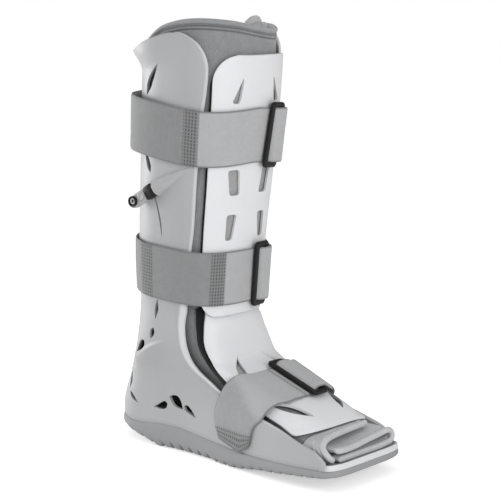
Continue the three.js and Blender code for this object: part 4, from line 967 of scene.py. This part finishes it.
footRows = [  # high, rear, rearAt, front, frontAt
    (0, 0.519, 0.064, 0.663, 0.067), (0, 0.503, 0.09, 0.672, 0.09), (0, 0.5, 0.125, 0.683, 0.115),
    (0, 0.528, 0.17, 0.708, 0.137), (1, 0.566, -0.755, 0.732, -0.75), (1, 0.585, -0.6, 0.757, -0.58),
    (1, 0.594, -0.4, 0.758, -0.38), (1, 0.594, -0.17, 0.758, -0.16), (1, 0.594, 0.055, 0.758, 0.055),
    (1, 0.594, 0.2, 0.758, 0.2), (1, 0.594, 0.36, 0.758, 0.36), (1, 0.584, 0.54, 0.76, 0.54),
    (1, 0.572, 0.72, 0.742, 0.7), (0, 0.545, 0.17, 0.712, 0.137), (0, 0.52, 0.125, 0.69, 0.115),
    (0, 0.515, 0.095, 0.68, 0.095), (0, 0.515, 0.07, 0.675, 0.07),
]
footLook = {
    "ring": 9, "stand": 5.0, "reach": 9, "seams": [(7.2, 7.6), (-0.1, 1.1)],  # a row's reach is millimetres
    "tip": 9, "tipRows": 1.3, "corner": 0.09, "cornerAt": 3.1,
    "crease": 2.9, "slant": 1.3, "fold": 1.3,
}
footTop = footLook["stand"] + over
footKnots = [  # at, stand
    (0, lie), (1, lie), (2, lie), (3, lie + 0.3), (3.5, lie + 2.4), (4, lie + 3.6), (4.6, lie + 3),
    (5.4, lie + 1), (6.4, lie + 0.2), (7.6, lie), (8.2, lie + 0.1), (8.5, lie + 2.6), (8.75, lie + 5.8),
    (9.1, footTop - 0.1), (9.6, footTop), (10.1, footTop), (10.6, lie + 4.6), (11.4, lie + 1.6),
    (12, lie + 3), (12.5, lie + 3), (13, lie + 0.4), (14, lie), (15, lie), (16, lie),
]


def footLinePoint(high, along, at, near):
    px = atX(along)
    if not high:
        return Vector((px, (-1 if near else 1) * halfAt(section(atZ(at), 0), px), atZ(at)))
    py = at * forefootHalf
    low, top = atZ(0.07), atZ(0.42)
    for _ in range(30):
        middle = (low + top) / 2
        s = section(middle, saddleOff + 0.2)
        if px < s["front"] and halfAt(s, px) > abs(py):
            low = middle
        else:
            top = middle
    return Vector((px, py, low))


rearLine = [footLinePoint(row[0], row[1], row[2], k < len(footRows) / 2) for k, row in enumerate(footRows)]
frontLine = [footLinePoint(row[0], row[3], row[4], k < len(footRows) / 2) for k, row in enumerate(footRows)]


def footPoint(place, across, stand):
    def pointAt(at, share):
        t = at / (len(footRows) - 1)
        return curvePoint(rearLine, t).lerp(curvePoint(frontLine, t), share)
    along = pointAt(place + 0.25, 0.5) - pointAt(place - 0.25, 0.5)
    wide = pointAt(place, 1) - pointAt(place, 0)
    out = wide.cross(along).normalized()
    tip = footLook["tip"] * (1 - ease(0, footLook["tipRows"], place))
    corner = footLook["corner"] * math.exp(-((place - footLook["cornerAt"]) / 0.9) ** 2) * max(across, 0)
    point = pointAt(place, across + 0.5 + corner) + out * stand
    point.z -= tip * max(min((across + 0.5) / 0.7, (0.5 - across) / 0.3), 0)
    return point


def pastCrease(place, across):  # above or below the fold at the near side of the foot
    return place - footLook["crease"] - (0.5 - across) * footLook["slant"]


def makeFootStrap():
    reach, seams = footLook["reach"], footLook["seams"]
    line = strapLine(footKnots, reach)
    shares = crossShares()
    grid = [[footPoint(p.x / reach, across, p.y) for p in line] for across in shares]

    def relief(i, j, p):
        place = line[j].x / reach
        above = pastCrease(place, shares[i])
        fold = footLook["fold"] * math.exp(-(above / (0.35 if above > 0 else 1.1)) ** 2)
        return wovenRelief(seams, 0.44, place, shares[i], p) + fold

    def uvOf(i, j):
        return (line[j].x / 1000, shares[i] * strapLook["width"] / 1000)
    made = sheetPiece("strap_foot_woven", grid, strapLook["wall"], middle=True, rounded=0.9, relief=relief,
                      uvGrid=uvOf)
    outward(made)
    smooth(made, 60)
    maskStrap(made, seams, (1, 12), reach, pastCrease)
    return made


def makeRing(name, centre, out, up):
    look = ringLook
    a, b = (look["length"] - look["wire"]) / 2, (look["width"] - look["wire"]) / 2
    corner = look["corner"] - look["wire"] / 2 + 0.8
    path = []
    for k, (sx, sy) in enumerate(((1, 1), (-1, 1), (-1, -1), (1, -1))):
        for n in range(9):
            angle = math.pi / 2 * (k + n / 8)
            path.append(Vector((sx * (a - corner) + corner * math.cos(angle),
                                sy * (b - corner) + corner * math.sin(angle))))
        if k in (0, 2):
            path += [Vector((sx * (a - corner) * t, sy * b)) for t in (0.6, 0.2, -0.2, -0.6)]
    side = out.cross(up).normalized() * -1
    rings = []
    for k, p in enumerate(path):
        tangent = (path[(k + 1) % len(path)] - path[k - 1]).normalized()
        normal = Vector((tangent.y, -tangent.x))
        ring = []
        for n in range(20):
            t = 2 * math.pi * n / 20
            c, s = math.cos(t), math.sin(t)
            w = squarer(c, 0.55) * look["wire"] / 2
            h = squarer(s, 0.55) * look["thick"] / 2
            q = p + normal * w
            ring.append(centre + up * q.x + side * q.y + out * h)
        rings.append(ring)
    made = tubePiece(name, rings, closed=True)
    smooth(made, 40)
    return made


def makeLegRing(name, strap):
    turn, stand = strap["ring"], strap["stand"]
    centre = legStrapPoint(strap, turn, 0, stand)
    side = (legStrapPoint(strap, turn + 6, 0, stand) - legStrapPoint(strap, turn - 6, 0, stand)).normalized()
    up = (legStrapPoint(strap, turn, 0.5, stand) - centre).normalized()
    out = side.cross(up).normalized()
    return makeRing(name, centre, out, out.cross(side).normalized())


def makeFootRing():
    at, stand = footLook["ring"], footLook["stand"]
    centre = footPoint(at, 0, stand)
    bar = (footPoint(at, 0.5, stand) - footPoint(at, -0.5, stand)).normalized()
    side = (footPoint(at + 0.6, 0, stand) - footPoint(at - 0.6, 0, stand)).normalized()
    return makeRing("ring_foot_moulded", centre, bar.cross(side).normalized(), bar)


valveLook = {"block": (10.5, 12.6, 6.6), "bodyLength": 22.5, "bodyWidth": 11.4, "bodyThick": 6.8, "cap": 3.7,
             "port": 5.0}
valveTurn = math.atan2(atZ(tipAt[1] - mouthAt[1]), atX(tipAt[0] - mouthAt[0]))


def placeOnValve(made, back, drop):  # from flat, millimetres as metres, to the valve's line on the shell
    c, s = math.cos(valveTurn), math.sin(valveTurn)
    px = atX(mouthAt[0]) - back * c - bootSize["originAt"]
    pz = atZ(mouthAt[1]) - back * s
    py = -(halfAt(section(atZ(mouthAt[1]), 0), atX(mouthAt[0])) + drop)
    rows = ((c, -s, 0, px / 1000), (0, 0, -1, py / 1000), (s, c, 0, pz / 1000), (0, 0, 0, 1))
    made.data.transform(Matrix(rows))
    made.matrix_world = Matrix.Identity(4)
    return made


def editTop(made):  # opens edit mode with the faces that look up selected
    bpy.ops.object.mode_set(mode="EDIT")
    bpy.ops.mesh.select_all(action="DESELECT")
    work = bmesh.from_edit_mesh(made.data)
    for face in work.faces:
        face.select = face.normal.z > 0.9
    bmesh.update_edit_mesh(made.data)


def bevelled(made, width, parts=3):
    step = made.modifiers.new("edges", "BEVEL")
    step.width, step.segments = width / 1000, parts
    step.limit_method, step.angle_limit = "ANGLE", math.radians(40)
    applyAll(made)
    smooth(made, 40)
    return made


def makeValveBlock():
    length, width, thick = (v / 1000 for v in valveLook["block"])
    bpy.ops.mesh.primitive_cube_add(size=1, location=(0, 0, 0), scale=(length, width, thick))
    made = bpy.context.object
    made.name = made.data.name = "valve_block_moulded"
    bpy.ops.object.transform_apply(location=True, rotation=True, scale=True)
    editTop(made)  # the outer face carries a raised pad
    bpy.ops.mesh.inset(thickness=0.0022, depth=0)
    bpy.ops.transform.translate(value=(0, 0, 0.0006))
    bpy.ops.object.mode_set(mode="OBJECT")
    bevelled(made, 0.9)
    return placeOnValve(made, valveLook["block"][0] / 2 + gap, valveLook["block"][2] / 2 + 0.6)


def makeValveBody():
    a, b = valveLook["bodyLength"] / 2, valveLook["bodyWidth"] / 2
    outline = [Vector((a, -b)), Vector((a, b))]
    turns = steps(math.pi / 2, math.pi * 1.5, 20)
    outline += [Vector((-a + b + b * math.cos(t), b * math.sin(t))) for t in turns]
    made = newFlat("valve_body_moulded", outline, 0, valveLook["bodyThick"])
    bevelled(made, 1.3, 4)
    return placeOnValve(made, valveLook["block"][0] + 2 * gap + a, 1.2)


def newFlat(name, outline, low, high):
    rings = [[Vector((p.x + bootSize["originAt"], p.y, z)) for p in outline] for z in (low, high)]
    return tubePiece(name, rings)


def makeRoundPart(name, radius, length, hole, back):
    bpy.ops.mesh.primitive_cylinder_add(vertices=40, radius=radius / 1000, depth=length / 1000,
                                        location=(0, 0, length / 2000))
    made = bpy.context.object
    made.name = made.data.name = name
    bpy.ops.object.transform_apply(location=True, rotation=True, scale=True)
    editTop(made)
    bpy.ops.mesh.inset(thickness=(radius - hole) / 1000, depth=0)
    bpy.ops.mesh.extrude_region_move(TRANSFORM_OT_translate={"value": (0, 0, -length * 0.55 / 1000)})
    bpy.ops.object.mode_set(mode="OBJECT")
    bevelled(made, 0.35)
    return placeOnValve(made, back, 1.2 + valveLook["bodyThick"] + gap)


def newGroup(name, inputs):  # a group with a mask and a height for outputs
    group = bpy.data.node_groups.new(name, "ShaderNodeTree")
    for label, value in inputs.items():
        kind = "NodeSocketVector" if value is None else "NodeSocketFloat"
        socket = group.interface.new_socket(name=label, in_out="INPUT", socket_type=kind)
        if value is not None:
            socket.default_value = value
    for label in ("Mask", "Height"):
        group.interface.new_socket(name=label, in_out="OUTPUT", socket_type="NodeSocketFloat")
    return group, group.nodes.new("NodeGroupInput").outputs, group.nodes.new("NodeGroupOutput").inputs


def addNode(tree, kind, links=(), **values):  # links: a value or another node's output for each socket
    node = tree.nodes.new(kind)
    for key, value in values.items():
        setattr(node, key, value)
    for socket, source in dict(links).items():
        if hasattr(source, "links"):
            tree.links.new(source, node.inputs[socket])
        else:
            node.inputs[socket].default_value = source
    return node


def mathNode(tree, operation, a, b=0.0, c=None):
    links = {0: a, 1: b}
    if c is not None:
        links[2] = c
    return addNode(tree, "ShaderNodeMath", links, operation=operation).outputs[0]


def noiseNode(tree, place, scale, detail, rough=0.5):
    links = {"Vector": place, "Scale": scale, "Detail": detail, "Roughness": rough}
    return addNode(tree, "ShaderNodeTexNoise", links).outputs["Fac"]


def makeGrainGroup():  # fine moulded grain with slow colour drift
    group, put, out = newGroup("mouldedGrain", {"Place": None, "Grain": 900.0, "Drift": 14.0})
    fine = noiseNode(group, put["Place"], put["Grain"], 2.0, 0.6)
    slow = noiseNode(group, put["Place"], put["Drift"], 4.0, 0.55)
    both = mathNode(group, "MULTIPLY_ADD", fine, 0.3, mathNode(group, "MULTIPLY", slow, 0.7))
    group.links.new(both, out["Mask"])
    group.links.new(fine, out["Height"])
    return group


def makeKnitGroup():  # pebbled loops of a brushed knit, with lint
    group, put, out = newGroup("knitLoops", {"Place": None, "Loops": 750.0, "Lint": 0.5})
    links = {"Vector": put["Place"], "Scale": put["Loops"], "Randomness": 0.55}
    cells = addNode(group, "ShaderNodeTexVoronoi", links).outputs["Distance"]
    lint = noiseNode(group, put["Place"], 160.0, 5.0, 0.7)
    slow = noiseNode(group, put["Place"], 22.0, 2.0)
    loops = mathNode(group, "SUBTRACT", 1.0, cells)
    fuzz = mathNode(group, "MULTIPLY", lint, put["Lint"])
    pale = mathNode(group, "MULTIPLY_ADD", loops, 0.4, fuzz)
    group.links.new(mathNode(group, "MULTIPLY_ADD", slow, 0.35, pale), out["Mask"])
    group.links.new(mathNode(group, "ADD", loops, fuzz), out["Height"])
    return group


def makeThreadGroup():  # rows of short stitches: rows follow Along, stitches follow Across, both in metres
    group, put, out = newGroup("threadRows", {"Along": 0.0, "Across": 0.0, "Row": 0.0027, "Stitch": 0.0031})
    row = mathNode(group, "FRACT", mathNode(group, "DIVIDE", put["Along"], put["Row"]))
    stitch = mathNode(group, "FRACT", mathNode(group, "DIVIDE", put["Across"], put["Stitch"]))
    offRow = mathNode(group, "ABSOLUTE", mathNode(group, "SUBTRACT", row, 0.5))
    nearRow = mathNode(group, "LESS_THAN", offRow, 0.24)
    thread = mathNode(group, "MULTIPLY", nearRow, mathNode(group, "LESS_THAN", stitch, 0.62))
    group.links.new(thread, out["Mask"])
    group.links.new(thread, out["Height"])
    return group


grainGroup, knitGroup, threadGroup = makeGrainGroup(), makeKnitGroup(), makeThreadGroup()


def groupNode(tree, group, links):
    return addNode(tree, "ShaderNodeGroup", links, node_tree=group)


def mixColours(tree, share, a, b):
    return addNode(tree, "ShaderNodeMix", {0: share, 6: a, 7: b}, data_type="RGBA").outputs[2]


def rangeNode(tree, value, low, high, start=0.0, end=1.0):  # low to high becomes start to end
    return addNode(tree, "ShaderNodeMapRange", {0: value, 1: low, 2: high, 3: start, 4: end}).outputs[0]


def maskOf(tree, name):  # a mask that the piece's mesh carries
    return addNode(tree, "ShaderNodeAttribute", attribute_name=name).outputs["Fac"]


def grey(value, cool=0.0):
    return (value * (1 - cool), value, value * (1 + 1.6 * cool), 1)


def startMaterial(name, specular, sheen=0.0):
    made = bpy.data.materials.new(name)
    made.use_nodes = True
    shader = made.node_tree.nodes["Principled BSDF"]
    shader.inputs["Specular IOR Level"].default_value = specular
    if sheen:
        shader.inputs["Sheen Weight"].default_value = sheen
        shader.inputs["Sheen Roughness"].default_value = 0.5
    place = made.node_tree.nodes.new("ShaderNodeTexCoord").outputs["Object"]
    return made, made.node_tree, shader, place


def finishMaterial(tree, shader, colour, roughMask, roughness, height, strength, distance):
    tree.links.new(colour, shader.inputs["Base Color"])
    tree.links.new(rangeNode(tree, roughMask, 0.3, 0.7, *roughness), shader.inputs["Roughness"])
    bump = addNode(tree, "ShaderNodeBump", {"Strength": strength, "Distance": distance, "Height": height})
    tree.links.new(bump.outputs["Normal"], shader.inputs["Normal"])


def plasticMaterial(name, base, edgeGrey, cool=0.012, roughness=(0.38, 0.5), grain=900.0, strength=0.12,
                    rimHighlight=None, specular=0.4):
    made, tree, shader, place = startMaterial(name, specular)
    grains = groupNode(tree, grainGroup, {"Place": place, "Grain": grain, "Drift": 13.0})
    mask, height = grains.outputs["Mask"], grains.outputs["Height"]
    share = rangeNode(tree, mask, 0.35, 0.65)
    colour = mixColours(tree, share, grey(base * 0.965, cool), grey(base * 1.03, cool))
    # sharp convex edges turn to a lighter grey, patchy with the grain
    edges = addNode(tree, "ShaderNodeNewGeometry").outputs["Pointiness"]
    paleEdges = rangeNode(tree, edges, 0.57, 0.72)
    paleEdges = mathNode(tree, "MULTIPLY", paleEdges, mathNode(tree, "MULTIPLY", share, 0.7))
    colour = mixColours(tree, paleEdges, colour, grey(edgeGrey, cool))
    # painted highlight along the shell's rim
    if rimHighlight:
        colour = mixColours(tree, maskOf(tree, "rimHighlightMask"), colour, grey(rimHighlight, cool))
    finishMaterial(tree, shader, colour, mask, roughness, height, strength, 0.0004)
    return made


def knitMaterial(name, base, loops=750.0, lint=0.5, cool=0.015, bead=None, stitch=None, slotShade=None):
    made, tree, shader, place = startMaterial(name, 0.2, 0.35)
    knit = groupNode(tree, knitGroup, {"Place": place, "Loops": loops, "Lint": lint})
    share = rangeNode(tree, knit.outputs["Mask"], 0.35, 0.95)
    colour = mixColours(tree, share, grey(base * 0.75, cool), grey(base * 1.25, cool))
    if bead:
        ribbed = mixColours(tree, share, grey(bead * 0.85, cool), grey(bead * 1.12, cool))
        colour = mixColours(tree, maskOf(tree, "beadMask"), colour, ribbed)
    if stitch:
        mask = mathNode(tree, "MULTIPLY", maskOf(tree, "stitchMask"), 0.7)
        colour = mixColours(tree, mask, colour, grey(stitch, cool))
    # painted shade: black where the liner shows through the shell's slots
    if slotShade:
        colour = mixColours(tree, maskOf(tree, "slotShadeMask"), colour, grey(slotShade))
    mask, height = knit.outputs["Mask"], knit.outputs["Height"]
    finishMaterial(tree, shader, colour, mask, (0.78, 0.95), height, 0.5, 0.0006)
    return made


def webbingMaterial(name, base, pale, thread, cool):
    made, tree, shader, place = startMaterial(name, 0.2, 0.3)
    knit = groupNode(tree, knitGroup, {"Place": place, "Loops": 1150.0, "Lint": 0.6})
    share = rangeNode(tree, knit.outputs["Mask"], 0.4, 1.0)
    colour = mixColours(tree, share, grey(base * 0.84, cool), grey(base * 1.14, cool))
    loops = mixColours(tree, share, grey(pale * 0.9, cool), grey(pale * 1.1, cool))
    # the paler colour is painted light on the leg straps' front stretch, and is darkened below the foot
    # strap's fold as painted shade
    colour = mixColours(tree, maskOf(tree, "litStretchMask"), colour, loops)
    uv = addNode(tree, "ShaderNodeUVMap", uv_map="UVMap").outputs[0]
    axes = addNode(tree, "ShaderNodeSeparateXYZ", {0: uv})
    edge = rangeNode(tree, mathNode(tree, "ABSOLUTE", axes.outputs[1]), 0.0236, 0.0246)  # the woven borders
    colour = mixColours(tree, edge, colour, grey(base * 0.8, cool))
    rows = groupNode(tree, threadGroup, {"Along": axes.outputs[0], "Across": axes.outputs[1]})
    seam = maskOf(tree, "seamMask")
    sewn = mathNode(tree, "MULTIPLY", rows.outputs["Mask"], seam)
    colour = mixColours(tree, mathNode(tree, "MULTIPLY", seam, 0.5), colour, grey(base * 0.7, cool))
    colour = mixColours(tree, mathNode(tree, "MULTIPLY", sewn, 0.75), colour, grey(thread, cool))
    height = mathNode(tree, "MULTIPLY_ADD", sewn, -1.2, knit.outputs["Height"])
    finishMaterial(tree, shader, colour, knit.outputs["Mask"], (0.8, 0.95), height, 0.55, 0.0005)
    return made


# 0.66 is the painted highlight along the shell's rim
shellPlastic = plasticMaterial("shellPlastic", 0.41, 0.55, rimHighlight=0.66)
panelPlastic = plasticMaterial("panelPlastic", 0.72, 0.86, cool=0.014, roughness=(0.4, 0.5))
soleRubber = plasticMaterial("soleRubber", 0.3, 0.4, roughness=(0.62, 0.8), grain=650.0, strength=0.3,
                             specular=0.3)
ringPlastic = plasticMaterial("ringPlastic", 0.009, 0.03, cool=0.0, roughness=(0.4, 0.52), grain=1400.0,
                              specular=0.25)
valvePlastic = plasticMaterial("valvePlastic", 0.42, 0.75, roughness=(0.3, 0.42))
# 0.012 is painted shade behind the shell's slots
linerKnit = knitMaterial("linerKnit", 0.26, stitch=0.06, slotShade=0.012)
tongueKnit = knitMaterial("tongueKnit", 0.4, loops=700.0)
flapKnit = knitMaterial("flapKnit", 0.45, bead=0.52)
bindingKnit = knitMaterial("bindingKnit", 0.3, loops=900.0)
# its black 0.008 is painted shade at the pads' edges; the face is grey knit
padEdgeShade = knitMaterial("padEdgeShade", 0.008, loops=600.0, lint=0.3, cool=0.0, bead=0.36)
strapWebbing = webbingMaterial("strapWebbing", 0.26, 0.42, 0.055, 0.01)
floorPaint = plasticMaterial("floorPaint", 0.9, 0.92, cool=0.0, roughness=(0.7, 0.8), strength=0.0,
                             specular=0.1)
glow = floorPaint.node_tree.nodes["Principled BSDF"].inputs  # keeps the pale floor even out to the horizon
glow["Emission Color"].default_value = (1, 1, 1, 1)
seen = addNode(floorPaint.node_tree, "ShaderNodeLightPath").outputs["Is Camera Ray"]
seen = mathNode(floorPaint.node_tree, "MULTIPLY_ADD", seen, 0.3, 0.16)
floorPaint.node_tree.links.new(seen, glow["Emission Strength"])
tell("materials made")


def place(made, node, slot, material, fill=None):
    made.data.materials.clear()
    made.data.materials.append(material)
    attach(made, "root")
    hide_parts(node)
    return made


place(makeOutsole(), "outsole", "sole_rubber", soleRubber)
place(makeShell(), "rear_shell", "shell_plastic", shellPlastic)
tell("sole and shell made")
place(makeFrontPanel(), "front_panel", "panel_plastic", panelPlastic)
place(makeInstepPanel(), "instep_panel", "panel_plastic", panelPlastic)
place(makeShinPad(), "shin_pad", "pad_foam", padEdgeShade)
place(makeInstepPad(), "instep_pad", "pad_foam", padEdgeShade)
tell("panels and their pads made")
place(makeLiner(), "liner", "liner_knit", linerKnit, 0.7)
place(makeBinding(), "liner_binding", "binding_knit", bindingKnit, 0.8)
place(makeTongue(), "tongue", "liner_knit", tongueKnit, 0.7)
place(makeToeFold("toe_flap_outer_padded", outerFoldRows, -3), "toe_flap_outer", "liner_knit", flapKnit, 0.7)
place(makeToeFold("toe_flap_inner_padded", innerFoldRows, 0), "toe_flap_inner", "liner_knit", flapKnit, 0.7)
tell("liner made")
place(makeLegStrap("strap_upper_woven", upperStrap), "strap_upper", "strap_webbing", strapWebbing)
place(makeLegStrap("strap_lower_woven", lowerStrap), "strap_lower", "strap_webbing", strapWebbing)
place(makeFootStrap(), "strap_foot", "strap_webbing", strapWebbing)
place(makeLegRing("ring_upper_moulded", upperStrap), "ring_upper", "ring_plastic", ringPlastic)
place(makeLegRing("ring_lower_moulded", lowerStrap), "ring_lower", "ring_plastic", ringPlastic)
place(makeFootRing(), "ring_foot", "ring_plastic", ringPlastic)
tell("straps and rings made")
place(makeValveBlock(), "valve_block", "ring_plastic", ringPlastic)
place(makeValveBody(), "valve_body", "valve_plastic", valvePlastic)
valveCap = makeRoundPart("valve_cap_moulded", valveLook["cap"], 1.4, 2.2, 14.6)
place(valveCap, "valve_cap", "valve_plastic", valvePlastic)
hosePort = makeRoundPart("hose_port_moulded", valveLook["port"], 2.6, 3.4, 26.0)
place(hosePort, "hose_port", "ring_plastic", ringPlastic)
button = makeRoundPart("hose_port_plug", 2.9, 2.2, 1.6, 25.4)
button.data.materials.append(valvePlastic)
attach(button, "root")
tell("valve made")

bpy.ops.mesh.primitive_circle_add(vertices=128, radius=9, fill_type="NGON", location=(0, 0, -0.0002))
floor = bpy.context.object
floor.name = "studio_floor"
floor.data.materials.append(floorPaint)

studio = {
    "shown": 1.0, "world": 0.3,
    "sun": {"strength": 1.2, "from": (0.25, -0.45, 1.0), "softness": 100},
    "lamps": [  # name, place, size, watts
        ("rearLeft", (-1.5, -0.45, 0.3), 0.9, 19),
        ("front", (1.7, -0.5, 0.7), 0.9, 12),
    ],
}
world = bpy.data.worlds.new("studio")
bpy.context.scene.world = world
world.use_nodes = True
sky = world.node_tree
seen = addNode(sky, "ShaderNodeLightPath").outputs["Is Camera Ray"]
strength = addNode(sky, "ShaderNodeMix", {0: seen, 2: studio["world"], 3: studio["shown"]})
sky.nodes["Background"].inputs["Color"].default_value = (1, 1, 1, 1)
sky.links.new(strength.outputs[0], sky.nodes["Background"].inputs["Strength"])


def hangLamp(name, kind, spot, energy, aim):
    lamp = bpy.data.lights.new(name, kind)
    lamp.energy = energy
    holder = bpy.data.objects.new(name, lamp)
    holder.location = spot
    holder.rotation_euler = (Vector(spot) - Vector(aim)).to_track_quat("Z", "Y").to_euler()
    bpy.context.scene.collection.objects.link(holder)
    return lamp


hangLamp("sun", "SUN", studio["sun"]["from"], studio["sun"]["strength"], (0, 0, 0)).angle = math.radians(
    studio["sun"]["softness"])
for name, spot, size, watts in studio["lamps"]:
    hangLamp(name, "AREA", spot, watts, (0.03, 0, 0.18)).size = size
bpy.context.scene.view_settings.view_transform = "Standard"

cameraLook = {
    "turn": 40.834, "rise": 9.376, "distance": 1.5, "target": (0.03456, 0.0, 0.1964), "lens": 115.99,
}
turn, rise = math.radians(cameraLook["turn"]), math.radians(cameraLook["rise"])
back = Vector((math.sin(turn) * math.cos(rise), -math.cos(turn) * math.cos(rise), math.sin(rise)))
eye = bpy.data.cameras.new("eye")
eye.lens, eye.sensor_width, eye.clip_start = cameraLook["lens"], 36, 0.05
holder = bpy.data.objects.new("eye", eye)
holder.location = Vector(cameraLook["target"]) + back * cameraLook["distance"]
holder.rotation_euler = back.to_track_quat("Z", "Y").to_euler()
bpy.context.scene.collection.objects.link(holder)
bpy.context.scene.camera = holder

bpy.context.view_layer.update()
tell("sizes written")
